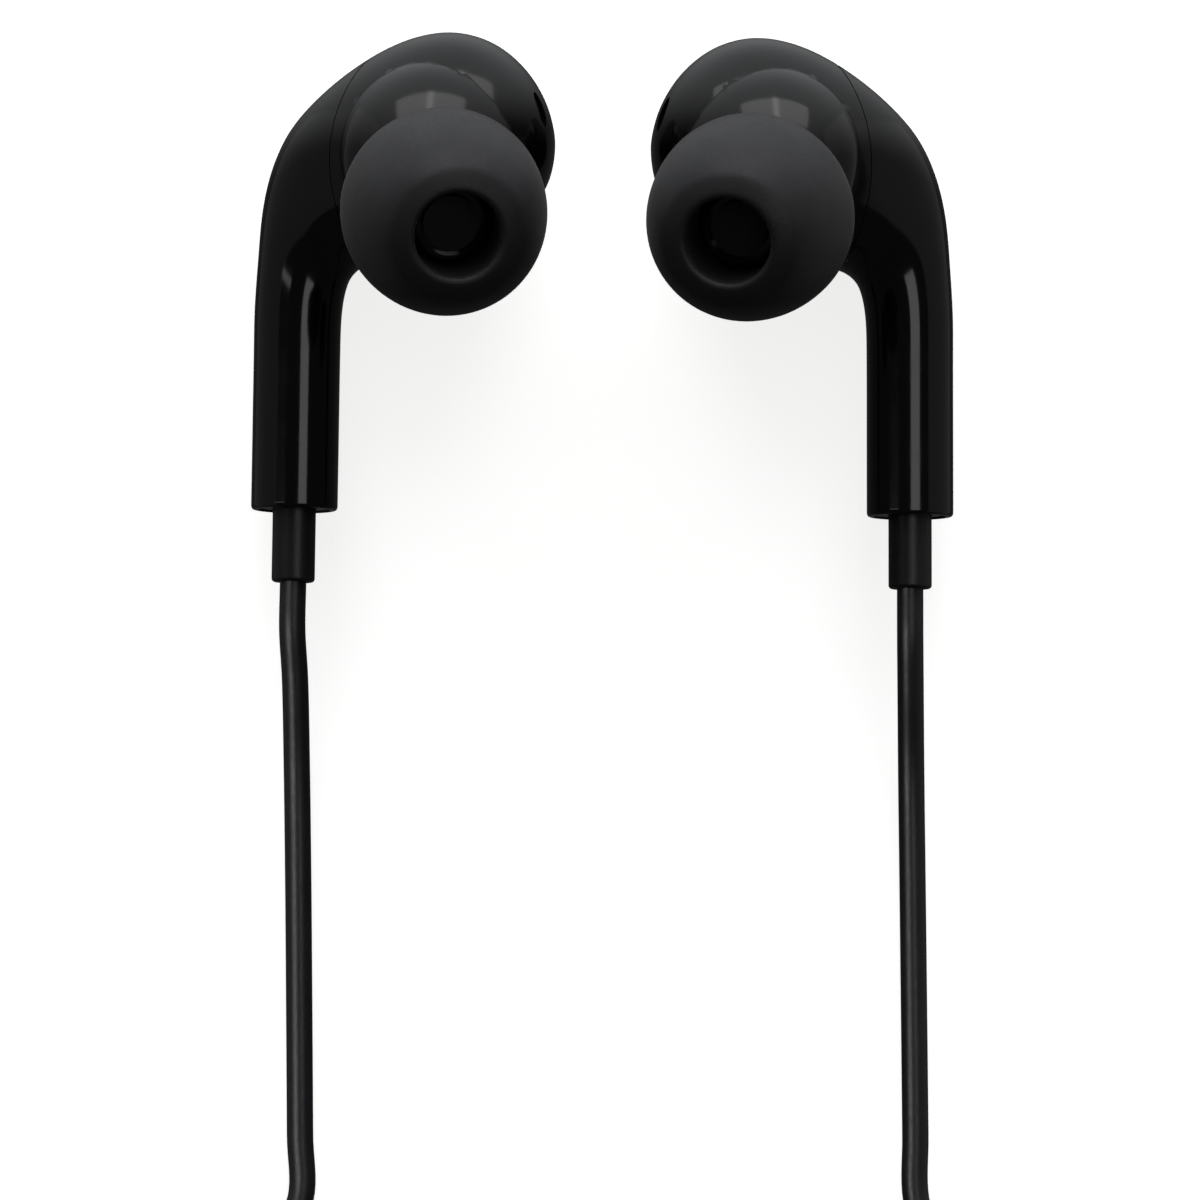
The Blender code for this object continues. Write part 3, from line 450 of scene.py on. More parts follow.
finishes = {
    # silicone rubber, moulded in a blasted tool: no mirror at all, a soft powdery bloom
    "mouldedSilicone": {"dark": "#262628", "light": "#2f2f31", "patchMm": 2.5, "grainMm": 0.12,
                        "smooth": 0.44, "rough": 0.60, "lift": 0.25, "ior": 1.41, "sheen": 0.1},
    # thermoplastic elastomer: satin, a broad soft highlight and a very fine grain
    "satinTpe": {"dark": "#151516", "light": "#1e1e20", "patchMm": 1.5, "grainMm": 0.10,
                 "smooth": 0.34, "rough": 0.46, "lift": 0.2, "ior": 1.5},
    # extruded TPE jacket: satin, with faint lines drawn along it
    "extrudedJacket": {"dark": "#1a191c", "light": "#242227", "patchMm": 1.2, "grainMm": 0.10,
                       "stretch": (1, 0.25, 1), "smooth": 0.32, "rough": 0.46, "lift": 0.2,
                       "ior": 1.5},
    # gold plate on turned brass: warm and bright, with fine rings from the lathe
    "goldPlate": {"dark": "#d9ac52", "light": "#efcb7c", "patchMm": 1.5, "grainMm": 0.12,
                  "stretch": (0.1, 4, 0.1), "smooth": 0.16, "rough": 0.28, "lift": 0.12,
                  "metallic": 1.0},
    # injection-moulded nylon, dark and slightly waxy
    "mouldedNylon": {"dark": "#0a0a0a", "light": "#121212", "patchMm": 1.0, "grainMm": 0.10,
                     "smooth": 0.38, "rough": 0.50, "lift": 0.15, "ior": 1.53},
    # nickel plate over sintered magnet and steel cup: pale, slightly yellow
    "nickelPlate": {"dark": "#a9a69c", "light": "#c4c1b7", "patchMm": 1.5, "grainMm": 0.15,
                    "smooth": 0.20, "rough": 0.34, "lift": 0.15, "metallic": 1.0},
    # stamped stainless steel with a rolled grain
    "rolledStainless": {"dark": "#8d8e90", "light": "#a9aaac", "patchMm": 1.2, "grainMm": 0.12,
                        "stretch": (6, 0.5, 1), "smooth": 0.28, "rough": 0.42, "lift": 0.15,
                        "metallic": 1.0},
    # enamelled copper wire: amber varnish over bright copper
    "enamelledCopper": {"dark": "#a4532a", "light": "#c87440", "patchMm": 0.8, "grainMm": 0.12,
                        "smooth": 0.22, "rough": 0.36, "lift": 0.15, "metallic": 1.0},
    # formed PET film, thin and faintly milky
    "formedPetFilm": {"dark": "#9fa39a", "light": "#b9bdb4", "patchMm": 1.5, "grainMm": 0.15,
                      "smooth": 0.18, "rough": 0.30, "lift": 0.1, "ior": 1.57},
    # solder-masked glass laminate: green, semi-gloss, the weave just felt
    "solderMaskedBoard": {"dark": "#0c3d20", "light": "#125a2e", "patchMm": 0.8, "grainMm": 0.25,
                          "smooth": 0.30, "rough": 0.48, "lift": 0.3, "ior": 1.5},
    # thin PVC insulation on the two inner wires, black and slightly glossy
    "pvcInsulation": {"dark": "#0b0b0c", "light": "#141416", "patchMm": 0.8, "grainMm": 0.12,
                      "smooth": 0.28, "rough": 0.40, "lift": 0.15, "ior": 1.53},
    # open-cell polyurethane foam, dead matte
    "openCellFoam": {"dark": "#0b0b0b", "light": "#1e1e1e", "patchMm": 0.4, "grainMm": 0.25,
                     "smooth": 0.85, "rough": 0.97, "lift": 0.8, "ior": 1.45},
}
materials = {name: grainedFinish(name, spec) for name, spec in finishes.items()}
materials["pianoBlackAbs"] = makeGlossAbs()
materials["wovenNylonTie"] = makeWovenTie()
materials["blackAcousticMesh"] = makeAcousticMesh()
print("materials made:", len(materials))


def dress(obj, name):
    obj.data.materials.clear()
    obj.data.materials.append(materials[name])
    return obj


cadFinishes = {
    "driver_frame": "nickelPlate", "driver_magnet": "nickelPlate",
    "driver_top_plate": "rolledStainless", "driver_cover": "rolledStainless",
    "voice_coil": "enamelledCopper", "cable_crimp": "enamelledCopper",
    "signal_wire": "pvcInsulation", "ground_wire": "pvcInsulation",
    "diaphragm": "formedPetFilm", "driver_board": "solderMaskedBoard",
    "driver_gasket": "openCellFoam", "nozzle_mesh": "blackAcousticMesh",
    "vent_mesh": "blackAcousticMesh",
}
for side in ("left", "right"):
    for part, name in cadFinishes.items():
        node = frame["nodes"][f"{side}_{part}"]
        for slot in node.material_slots:
            slot.material = materials[name]
for piece, _, _ in cords.values():
    dress(piece, "extrudedJacket")
dress(trunkPiece, "extrudedJacket")


def loftStations(name, stations, count):
    # a capped circle extruded from station to station; each station is the matrix of its circle
    deselectAll()
    bpy.ops.mesh.primitive_circle_add(vertices=count, radius=1, fill_type="NGON")
    obj = rename(bpy.context.object, name)
    obj.data.transform(stations[0])
    bpy.ops.object.mode_set(mode="EDIT")
    bpy.ops.mesh.select_mode(type="FACE")
    bpy.ops.mesh.select_all(action="SELECT")
    for before, after in zip(stations, stations[1:]):
        bpy.ops.mesh.extrude_region()
        step = after @ before.inverted()
        drawn = bmesh.from_edit_mesh(obj.data)
        for vert in drawn.verts:
            if vert.select:
                vert.co = step @ vert.co
        bmesh.update_edit_mesh(obj.data)
    bpy.ops.mesh.select_all(action="SELECT")
    bpy.ops.mesh.normals_make_consistent(inside=False)
    bpy.ops.object.mode_set(mode="OBJECT")
    return obj


def stationMatrix(centre, across, upward):
    facing = across.cross(upward).normalized()
    turned = Matrix((across, upward, facing)).transposed().to_4x4()
    return Matrix.Translation(centre) @ turned


def turnProfile(name, profile, steps=96):
    # an outline of (radius, height) in mm, spun about Z; it closes on itself unless both ends
    # lie on the axis
    mesh = bpy.data.meshes.new(name)
    onAxis = profile[0][0] == 0 and profile[-1][0] == 0
    count = len(profile)
    edges = [(index, (index + 1) % count) for index in range(count - (1 if onAxis else 0))]
    mesh.from_pydata([(r * mm, 0, h * mm) for r, h in profile], edges, [])
    obj = bpy.data.objects.new(name, mesh)
    bpy.context.scene.collection.objects.link(obj)
    pick(obj)
    bpy.ops.object.mode_set(mode="EDIT")
    bpy.ops.mesh.select_all(action="SELECT")
    bpy.ops.mesh.spin(steps=steps, angle=2 * math.pi, center=(0, 0, 0), axis=(0, 0, 1))
    bpy.ops.mesh.select_all(action="SELECT")
    bpy.ops.mesh.remove_doubles(threshold=0.000002)
    bpy.ops.mesh.select_all(action="SELECT")
    bpy.ops.mesh.normals_make_consistent(inside=False)
    bpy.ops.object.mode_set(mode="OBJECT")
    return obj


def arc(radius, height, size, start, end, steps=5):
    # points of a rounded corner about (radius, height), angles in degrees from +radius
    points = []
    for index in range(steps + 1):
        angle = math.radians(start + (end - start) * index / steps)
        points.append((radius + size * math.cos(angle), height + size * math.sin(angle)))
    return points


def cut(obj, tool, operation="DIFFERENCE"):
    modifier = obj.modifiers.new("cut", "BOOLEAN")
    modifier.operation = operation
    modifier.solver = "EXACT"
    modifier.object = tool
    applyModifiers(obj)


def subdivide(obj, levels):
    modifier = obj.modifiers.new("rounding", "SUBSURF")
    modifier.levels = levels
    modifier.render_levels = levels
    applyModifiers(obj)


def smoothShade(obj, degrees=35):
    pick(obj)
    bpy.ops.object.shade_smooth_by_angle(angle=math.radians(degrees))


def discard(*objects):
    for obj in objects:
        bpy.data.objects.remove(obj)


def place(obj, matrix):
    obj.data.transform(matrix)
    obj.data.update()
    return obj


buds = {
    "left": {"mirror": 1, "lean": -0.9, "roll": -2.5, "stem": (-18.95, 0.50, 2.733)},
    "right": {"mirror": -1, "lean": 0.0, "roll": -2.5, "stem": (19.2, 0.04, 3.230)},
}
shell = {
    "stemRadius": 2.7,
    "stemLength": 15.1,
    "wall": 1.0,
    "around": 28,
    # outline outside u, y, outline inside u, y, half depth, height of the middle
    "sections": [
        (-2.50, 0.90, 3.15, -0.70, 2.85, 0.10), (-2.31, 3.30, 4.00, 0.15, 3.25, 0.50),
        (-1.80, 5.75, 5.40, 0.50, 3.85, 1.10), (-0.75, 8.20, 6.80, 0.50, 4.45, 1.70),
        (0.90, 10.20, 8.20, 0.45, 4.95, 2.20), (3.30, 12.25, 9.60, 0.50, 5.30, 2.55),
        (6.30, 14.00, 11.00, 0.80, 5.50, 2.75), (9.40, 14.70, 12.40, 1.40, 5.55, 2.80),
        (12.20, 14.00, 13.80, 2.45, 5.10, 2.80), (14.30, 12.25, 14.90, 3.90, 4.00, 2.80),
        (15.50, 10.25, 15.70, 5.40, 2.50, 2.80), (15.95, 8.70, 15.98, 6.60, 1.15, 2.80),
        (16.05, 8.00, 16.05, 7.30, 0.40, 2.80),
    ],
    "partingCentre": (13.0, 6.4),
    "partingRadius": 10.8,
    "partingHeight": 2.5,
    "seam": 0.05,
    "stemBore": 1.7,
    "capPocket": 2.25,
    "pocketDepth": 2.2,
    "ventCentre": (15.0, 9.6, 5.0),
    "ventDirection": (0.82, 0.20, 0.50),
    "ventHalf": (0.5, 1.15),
}
nozzle = {
    "root": (9.31, 3.20, 8.7),
    "direction": (0.190, -0.331, 0.924),
    "length": 4.6,
    "bore": 1.7,
    "grille": 1.75,
    # u, y, z, radius, share of the nozzle's tilt
    "flare": [
        (8.70, 7.00, 3.90, 5.85, 0.00), (8.55, 6.60, 6.60, 5.70, 0.12),
        (8.70, 5.75, 7.60, 5.40, 0.45), (9.00, 4.60, 8.25, 4.80, 0.75),
        (9.22, 3.60, 8.62, 4.00, 0.95), (9.31, 3.20, 8.78, 3.20, 1.00),
    ],
    # step along the axis, radius: the plain tube, then the barb that the tip snaps over
    "tube": [
        (0.30, 2.98), (0.45, 2.90), (0.55, 2.40), (3.0, 2.40), (3.3, 2.70), (3.4, 2.75),
        (3.7, 2.75), (3.8, 2.74), (4.45, 2.47), (4.55, 2.40), (4.6, 2.30),
    ],
}


def budMatrix(side):
    spec = buds[side]
    lean = Matrix.Rotation(math.radians(spec["lean"]), 4, "Z")
    roll = Matrix.Rotation(math.radians(spec["roll"]), 4, "Y")
    return Matrix.Translation(Vector(spec["stem"]) * mm) @ lean @ roll


def nozzleMatrix():
    axis = Vector(nozzle["direction"]).normalized()
    turned = axis.to_track_quat("Z", "Y").to_matrix().to_4x4()
    return Matrix.Translation(Vector(nozzle["root"]) * mm) @ turned


def stemEndMatrix():
    turned = Vector((0, 1, 0)).to_track_quat("Z", "X").to_matrix().to_4x4()
    return Matrix.Translation((0, -shell["stemLength"] * mm, 0)) @ turned


def shellStations(inset):
    # the stem's rings, then the head's, drawn in by the inset
    swell = 6 / (4 + 2 * math.cos(2 * math.pi / shell["around"]))  # rounding pulls a ring in
    radius = shell["stemRadius"] - inset
    length = shell["stemLength"]
    rows = [(-radius, -length * part, radius, -length * part, radius, 0.0)
            for part in (0.97, 0.67, 0.34)]
    rows.append((-radius, -2.5, radius + 0.05, -2.7, radius, 0.0))
    for row in shell["sections"]:
        across = Vector((row[2] - row[0], row[3] - row[1])).normalized() * min(inset, 0.3 + row[4])
        rows.append((row[0] + across.x, row[1] + across.y, row[2] - across.x, row[3] - across.y,
                     row[4] - inset, row[5]))
    if inset:
        rows = rows[5:14]
        fine = list(zip(catmull([r[:3] for r in rows], 1), catmull([r[3:] for r in rows], 1)))
    else:
        fine = list(zip(catmull([r[:3] for r in rows], 2), catmull([r[3:] for r in rows], 2)))
    stations = []
    for first, last in fine:
        outer = Vector((first.x, first.y, last.z))
        inner = Vector((first.z, last.x, last.z))
        centre, half = (outer + inner) / 2, (inner - outer) / 2
        depth = Vector((0, 0, last.y))
        stations.append(stationMatrix(centre * mm, half * swell * mm, depth * swell * mm))
    if not inset:
        # the stem's open end: a flat face with a small rounded edge
        ends = []
        for y, radius in ((-length, 1.2), (-length, 2.2), (-length, 2.50), (-length + 0.02, 2.58),
                          (-length + 0.08, 2.66), (-length + 0.2, 2.7), (-length + 0.35, 2.7)):
            size = radius * swell * mm
            centre = Vector((0, y, 0)) * mm
            ends.append(stationMatrix(centre, Vector((size, 0, 0)), Vector((0, 0, size))))
        stations = ends + stations
    return stations


def makeShellBody(name, inset, levels):
    obj = loftStations(name, shellStations(inset), shell["around"])
    subdivide(obj, levels)
    return obj


def makeFlare():
    rows = nozzle["flare"]
    path = list(zip(catmull([r[:3] for r in rows], 5), catmull([(*r[3:], 0) for r in rows], 5)))
    axis = Vector(nozzle["direction"]).normalized()
    rings = [(centre, size.x, Vector((0, 0, 1)).lerp(axis, size.y)) for centre, size in path]
    root = Vector(nozzle["root"])
    rings += [(root + axis * step, radius, axis) for step, radius in nozzle["tube"]]
    stations = []
    for centre, radius, normal in rings:
        sideways = Vector((0, 1, 0)).cross(normal).normalized() * radius * mm
        upwards = normal.normalized().cross(sideways)
        stations.append(stationMatrix(centre * mm, sideways, upwards))
    return loftStations("flare", stations, 96)


def makeHousings():
    # modelled once for the left side, about the stem's axis
    rear = makeShellBody("rear", 0.0, 2)
    deselectAll()
    front = rear.copy()
    front.data = rear.data.copy()
    front.name = "front"
    bpy.context.scene.collection.objects.link(front)
    hollow = makeShellBody("hollow", shell["wall"], 1)
    x, y = shell["partingCentre"]
    half = shell["seam"] / 2
    tools = []
    for radius, bottom in ((shell["partingRadius"] + half, shell["partingHeight"] - half),
                           (shell["partingRadius"] - half, shell["partingHeight"] + half)):
        deselectAll()
        bpy.ops.mesh.primitive_cylinder_add(
            vertices=256, radius=radius * mm, depth=20 * mm,
            location=(x * mm, y * mm, (bottom + 10) * mm),
        )
        tools.append(bpy.context.object)
    pocket, core = tools
    flare = makeFlare()
    seat, grilleSeat = nozzle["length"] - 0.5, nozzle["grille"] + 0.3
    bore = turnProfile("bore", [
        (0, -6), (nozzle["bore"], -6), (nozzle["bore"], seat), (grilleSeat, seat),
        (grilleSeat, nozzle["length"] + 1), (0, nozzle["length"] + 1),
    ], 64)
    place(bore, nozzleMatrix())
    stemBore = turnProfile("stemBore", [
        (0, -1), (shell["capPocket"], -1), (shell["capPocket"], shell["pocketDepth"]),
        (shell["stemBore"], shell["pocketDepth"]), (shell["stemBore"], shell["stemLength"] + 3.2),
        (0, shell["stemLength"] + 3.2),
    ], 64)
    place(stemBore, stemEndMatrix())
    deselectAll()
    bpy.ops.mesh.primitive_cylinder_add(vertices=64, radius=1, depth=5 * mm)
    vent = bpy.context.object
    halfWide, halfLong = shell["ventHalf"]
    outwards = Vector(shell["ventDirection"]).to_track_quat("Z", "X").to_matrix().to_4x4()
    vent.data.transform(
        Matrix.Translation(Vector(shell["ventCentre"]) * mm) @ outwards
        @ Matrix.Diagonal((halfWide * mm, halfLong * mm, 1, 1))
    )
    for tool in (pocket, hollow, stemBore):
        cut(rear, tool)
    cut(front, core, "INTERSECT")
    cut(front, flare, "UNION")
    for tool in (hollow, bore, vent):
        cut(front, tool)
    discard(pocket, core, hollow, flare, bore, stemBore, vent)
    return rear, front


tip = {
    "radius": 6.4,
    "length": 8.0,
    "lip": 3.05,
    "shoulder": 3.9,
    "domeLength": 6.75,
    "mouth": 2.75,
    "skirtWall": 0.45,
    "bore": 2.85,
    "sleeveWall": 0.55,
    "seat": 4.9,
}


def tipRadius(along):
    share = (along - 1) / tip["domeLength"]
    if share <= 0:
        return tip["radius"] - 0.1 * (1 - along)
    return tip["shoulder"] + (tip["radius"] - tip["shoulder"]) * (1 - share ** 2) ** 0.7


def makeTip():
    wall, length, mouth = tip["skirtWall"], tip["length"], tip["mouth"]
    steps = [0.2, 0.6, 1.0, 1.5, 2.0, 2.5, 3.0, 3.5, 4.0, 4.5, 5.0, 5.4, 5.8, 6.2, 6.5, 6.8, 7.1,
             7.3, 7.45, 7.58]
    profile = arc(tipRadius(0.2) - wall / 2, 0.2, wall / 2, 270, 360, 4)[:-1]
    profile += [(tipRadius(along), along) for along in steps]
    profile += [(4.0, length - 0.30), (3.75, length - 0.20), (3.45, length - 0.09),
                (3.2, length - 0.02), (tip["lip"], length)]
    profile += arc(mouth + 0.25, length - 0.3, 0.3, 95, 175, 7)
    profile += [(mouth, length - 0.55), (mouth, tip["seat"]), (tip["bore"], tip["seat"])]
    bore, sleeve = tip["bore"], tip["bore"] + tip["sleeveWall"]
    profile += [(bore, 1.05), (bore + 0.15, 0.9), (sleeve - 0.15, 0.9), (sleeve, 1.05)]
    profile += [(sleeve, 4.7), (sleeve + 0.2, 5.2), (sleeve + 0.75, 5.6)]
    profile += [(tipRadius(along) - wall, along) for along in (5.0, 4.4, 3.6, 2.8, 1.9, 1.0, 0.2)]
    return turnProfile("tip", profile)


relief = {"radius": 1.35, "length": 4.5, "flange": 1.95, "cord": 0.84}


def makeRelief():
    r, length = relief["radius"], relief["length"]
    profile = [(relief["flange"], 1.9), (relief["cord"], 1.9), (relief["cord"], -length)]
    profile += arc(r - 0.22, -length + 0.22, 0.22, 270, 360, 6)
    profile += [(r, 1.2), (relief["flange"], 1.2)]
    return turnProfile("relief", profile, 64)


cap = {"inner": 1.40, "outer": 2.20, "bottom": 0.08, "top": 0.9}


def makeCap():
    # the moulded ring that holds the relief in the stem's end
    inner, outer, bottom, top = cap["inner"], cap["outer"], cap["bottom"], cap["top"]
    profile = arc(inner + 0.1, bottom + 0.1, 0.1, 180, 270, 4)
    profile += arc(outer - 0.12, bottom + 0.12, 0.12, 270, 360, 4)
    profile += [(outer, top), (inner, top)]
    return turnProfile("cap", profile, 64)


def copyForSide(source, name, side, inner=Matrix.Identity(4)):
    obj = source.copy()
    obj.data = source.data.copy()
    bpy.context.scene.collection.objects.link(obj)
    rename(obj, name)
    place(obj, inner)
    if buds[side]["mirror"] < 0:
        place(obj, Matrix.Diagonal((-1, 1, 1, 1)))
        pick(obj)
        bpy.ops.object.mode_set(mode="EDIT")
        bpy.ops.mesh.select_all(action="SELECT")
        bpy.ops.mesh.flip_normals()
        bpy.ops.object.mode_set(mode="OBJECT")
    place(obj, budMatrix(side))
    return obj


rearSource, frontSource = makeHousings()
tipSource, reliefSource, capSource = makeTip(), makeRelief(), makeCap()
for source, degrees in ((rearSource, 40), (frontSource, 40), (tipSource, 50), (reliefSource, 40),
                        (capSource, 40)):
    smoothShade(source, degrees)
print("earphone pieces modelled")

for side in ("left", "right"):
    rear = copyForSide(rearSource, f"{side}RearShell", side)
    front = copyForSide(frontSource, f"{side}FrontShell", side)
    earTip = copyForSide(tipSource, f"{side}SiliconeTip", side, nozzleMatrix())
    strainRelief = copyForSide(reliefSource, f"{side}CableSleeve", side, stemEndMatrix())
    cap = copyForSide(capSource, f"{side}StemCap", side, stemEndMatrix())
    for piece, node, slot, finish, rides in (
        (rear, "rear_housing", "housing", "pianoBlackAbs", body),
        (front, "front_housing", "housing", "pianoBlackAbs", body),
        (cap, "stem_end_cap", "housing", "pianoBlackAbs", body),
        (earTip, "ear_tip", "silicone", "mouldedSilicone", f"{side}_tip"),
        (strainRelief, "strain_relief", "rubber", "satinTpe", body),
    ):
        dress(piece, finish)
        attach(piece, rides)
        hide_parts(f"{side}_{node}")
discard(rearSource, frontSource, tipSource, reliefSource, capSource)
print("earphones placed")


split = {"top": -94.0, "halfWidth": 2.9, "thickness": 3.4}


def roundedRing(centre, halfX, halfZ, corner, steps=5):
    # a rounded rectangle standing across the cord
    ring = []
    for x, z, start in ((1, 1, 0), (-1, 1, 90), (-1, -1, 180), (1, -1, 270)):
        for index in range(steps + 1):
            angle = math.radians(start + 90 * index / steps)
            ring.append(Vector((
                centre.x + x * (halfX - corner) + corner * math.cos(angle),
                centre.y,
                centre.z + z * (halfZ - corner) + corner * math.sin(angle),
            )) * mm)
    return ring


def bridgedRings(name, rings):
    # closed body through rings that all have the same number of points
    count = len(rings[0])
    mesh = bpy.data.meshes.new(name)
    edges = []
    for index in range(len(rings)):
        edges += [(index * count + k, index * count + (k + 1) % count) for k in range(count)]
    mesh.from_pydata([point for ring in rings for point in ring], edges, [])
    obj = bpy.data.objects.new(name, mesh)
    bpy.context.scene.collection.objects.link(obj)
    pick(obj)
    bpy.ops.object.mode_set(mode="EDIT")
    bpy.ops.mesh.select_mode(type="EDGE")
    for index in range(len(rings) - 1):
        bpy.ops.mesh.select_all(action="DESELECT")
        drawn = bmesh.from_edit_mesh(mesh)
        drawn.verts.ensure_lookup_table()
        for edge in drawn.edges:
            low, high = sorted(vert.index // count for vert in edge.verts)
            edge.select_set(low == high and low in (index, index + 1))
        bmesh.update_edit_mesh(mesh)
        bpy.ops.mesh.bridge_edge_loops()
    bpy.ops.mesh.select_all(action="DESELECT")
    bpy.ops.mesh.select_non_manifold()
    bpy.ops.mesh.edge_face_add()
    bpy.ops.mesh.select_all(action="SELECT")
    bpy.ops.mesh.normals_make_consistent(inside=False)
    bpy.ops.object.mode_set(mode="OBJECT")
    return obj


def makeSplit():
    # each row is a step along the split, half its width and half its height: small steps round
    # off both ends, and two shallow grooves give the fingers a hold
    middle, width = split["thickness"] / 2, split["halfWidth"]
    rows = [(0.0, width - 0.45, middle - 0.45), (0.12, width - 0.2, middle - 0.2),
            (0.4, width, middle), (2.9, width, middle), (3.1, width - 0.18, middle - 0.18),
            (3.4, width - 0.18, middle - 0.18), (3.6, width, middle), (4.3, width, middle),
            (4.5, width - 0.18, middle - 0.18), (4.8, width - 0.18, middle - 0.18),
            (5.0, width - 0.03, middle), (6.5, width * 0.91, middle),
            (8.2, width * 0.76, middle - 0.02), (10.0, width * 0.61, middle - 0.04),
            (11.5, width * 0.54, middle - 0.08),
            (11.9, 1.4, middle - 0.2), (12.0, 1.2, middle - 0.4)]
    rings = []
    for along, halfX, halfZ in rows:
        centre = Vector((0, split["top"] - along, middle))
        rings.append(roundedRing(centre, halfX, halfZ, min(halfX, halfZ) * 0.55))
    obj = bridgedRings("cableSplit", rings)
    subdivide(obj, 1)
    smoothShade(obj, 50)
    return obj


splitPiece = makeSplit()
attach(splitPiece, body)
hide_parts("y_split")
dress(splitPiece, "satinTpe")

plug = {"tail": (-17.0, -132.5), "grip": 3.0, "pin": 1.75}


def plugMatrix():
    turned = Vector((0, 1, 0)).to_track_quat("Z", "X").to_matrix().to_4x4()
    x, y = plug["tail"]
    return Matrix.Translation((x * mm, y * mm, plug["grip"] * mm)) @ turned


def plugProfiles():
    grip, pin = plug["grip"], plug["pin"]
    # the relief's bottom end has the cord's hole; rings moulded into it let it bend
    tail = [(1.02, 6.6), (1.02, 0.0)] + arc(1.25, 0.12, 0.12, 270, 360, 4)
    for low in (0.9, 2.1, 3.3, 4.5):
        wide = 1.40 + 0.075 * low
        tail += [(wide, low), (wide - 0.22, low + 0.15), (wide - 0.18, low + 0.5),
                 (wide + 0.06, low + 0.65)]
    tail += [(1.88, 6.0), (1.9, 6.6)]
    body = [(0.4, 6.55)] + [(1.9, 6.55)] + arc(2.15, 7.0, 0.25, 180, 90, 3)[1:]
    body += [(2.45, 7.6), (2.8, 8.3)] + arc(2.75, 8.9, 0.25, 60, 0, 4)
    for low in (10.6, 11.8, 13.0, 14.2):
        body += [(grip, low), (grip - 0.16, low + 0.14), (grip - 0.16, low + 0.46),
                 (grip, low + 0.6)]
    body += arc(grip - 0.3, 20.5, 0.3, 0, 90, 5) + [(0.4, 20.8)]
    sleeve = [(0.9, 20.7), (pin, 20.7), (pin, 26.35), (pin - 0.08, 26.45), (0.9, 26.45)]
    rearBand = [(0.9, 26.45), (pin - 0.06, 26.45), (pin - 0.06, 27.45), (0.9, 27.45)]
    ring = [(0.9, 27.45), (pin - 0.08, 27.45), (pin, 27.53), (pin, 29.82), (pin - 0.08, 29.9),
            (0.9, 29.9)]
    frontBand = [(0.9, 29.9), (pin - 0.06, 29.9), (pin - 0.06, 31.1), (0.9, 31.1)]
    point = [(0, 31.1), (pin - 0.06, 31.1), (pin, 31.18), (pin, 31.4), (pin - 0.3, 31.75),
             (pin - 0.45, 32.1), (pin - 0.32, 32.45), (pin - 0.06, 32.75), (pin - 0.05, 33.0),
             (pin - 0.2, 33.35), (pin - 0.75, 34.1), (0.75, 34.42), (0.5, 34.58),
             (0.25, 34.67), (0, 34.7)]
    return (
        ("plugTail", "plug_strain_relief", "rubber", "satinTpe", tail),
        ("plugBody", "plug_grip", "rubber", "satinTpe", body),
        ("plugSleeve", "plug_sleeve_contact", "gold", "goldPlate", sleeve),
        ("plugRearBand", "plug_rear_insulator", "insulator", "mouldedNylon", rearBand),
        ("plugRing", "plug_ring_contact", "gold", "goldPlate", ring),
        ("plugFrontBand", "plug_front_insulator", "insulator", "mouldedNylon", frontBand),
        ("plugPoint", "plug_tip_contact", "gold", "goldPlate", point),
    )


for name, node, slot, finish, profile in plugProfiles():
    piece = turnProfile(name, profile, 48)
    place(piece, plugMatrix())
    smoothShade(piece, 30)
    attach(piece, body)
    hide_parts(node)
    dress(piece, finish)

ties = {
    "left": {"node": "left_lead_tie", "centre": (-12.0, -73.5), "middle": 8.7, "half": 2.775,
             "low": 0.35, "high": 4.25},
    "right": {"node": "right_lead_tie", "centre": (12.0, -73.5), "middle": 8.7, "half": 2.775,
              "low": 0.35, "high": 4.25},
    "trunk": {"node": "trunk_tie", "centre": (10.0, -124.5), "middle": 11.0, "half": 4.3,
              "low": 0.35, "high": 8.95},
}


strap = {"width": 3.0, "thickness": 0.33, "corner": 0.8, "steps": 6, "softEdge": 0.08}


def makeTie(name, spec):
    # a strap round the turns at one side of the coil: a rounded loop drawn out to its width, then
    # given its thickness
    width, corner = strap["width"], strap["corner"]
    x, y = spec["centre"]
    middleY, middleZ = y + spec["middle"], (spec["low"] + spec["high"]) / 2
    halfY, halfZ = spec["half"], (spec["high"] - spec["low"]) / 2
    ring = []
    for sy, sz, start in ((1, 1, 0), (-1, 1, 90), (-1, -1, 180), (1, -1, 270)):
        for index in range(7):
            angle = math.radians(start + 15 * index)
            ring.append(Vector((
                x - width / 2,
                middleY + sy * (halfY - corner) + corner * math.cos(angle),
                middleZ + sz * (halfZ - corner) + corner * math.sin(angle),
            )) * mm)
    mesh = bpy.data.meshes.new(name)
    mesh.from_pydata(ring, [(k, (k + 1) % len(ring)) for k in range(len(ring))], [])
    obj = bpy.data.objects.new(name, mesh)
    bpy.context.scene.collection.objects.link(obj)
    pick(obj)
    bpy.ops.object.mode_set(mode="EDIT")
    bpy.ops.mesh.select_mode(type="EDGE")
    bpy.ops.mesh.select_all(action="SELECT")
    for _ in range(strap["steps"]):
        bpy.ops.mesh.extrude_region()
        bpy.ops.transform.translate(value=(width / strap["steps"] * mm, 0, 0))
    bpy.ops.mesh.select_all(action="SELECT")
    bpy.ops.mesh.normals_make_consistent(inside=False)
    bpy.ops.object.mode_set(mode="OBJECT")
    wall = obj.modifiers.new("thickness", "SOLIDIFY")
    wall.thickness = strap["thickness"] * mm
    wall.offset = 1
    edge = obj.modifiers.new("softEdge", "BEVEL")
    edge.width = strap["softEdge"] * mm
    edge.segments = 2
    edge.limit_method = "ANGLE"
    applyModifiers(obj)
    smoothShade(obj, 40)
    return obj


for side, spec in ties.items():
    piece = makeTie(f"{side}Tie", spec)
    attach(piece, body)
    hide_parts(spec["node"])
    dress(piece, "wovenNylonTie")

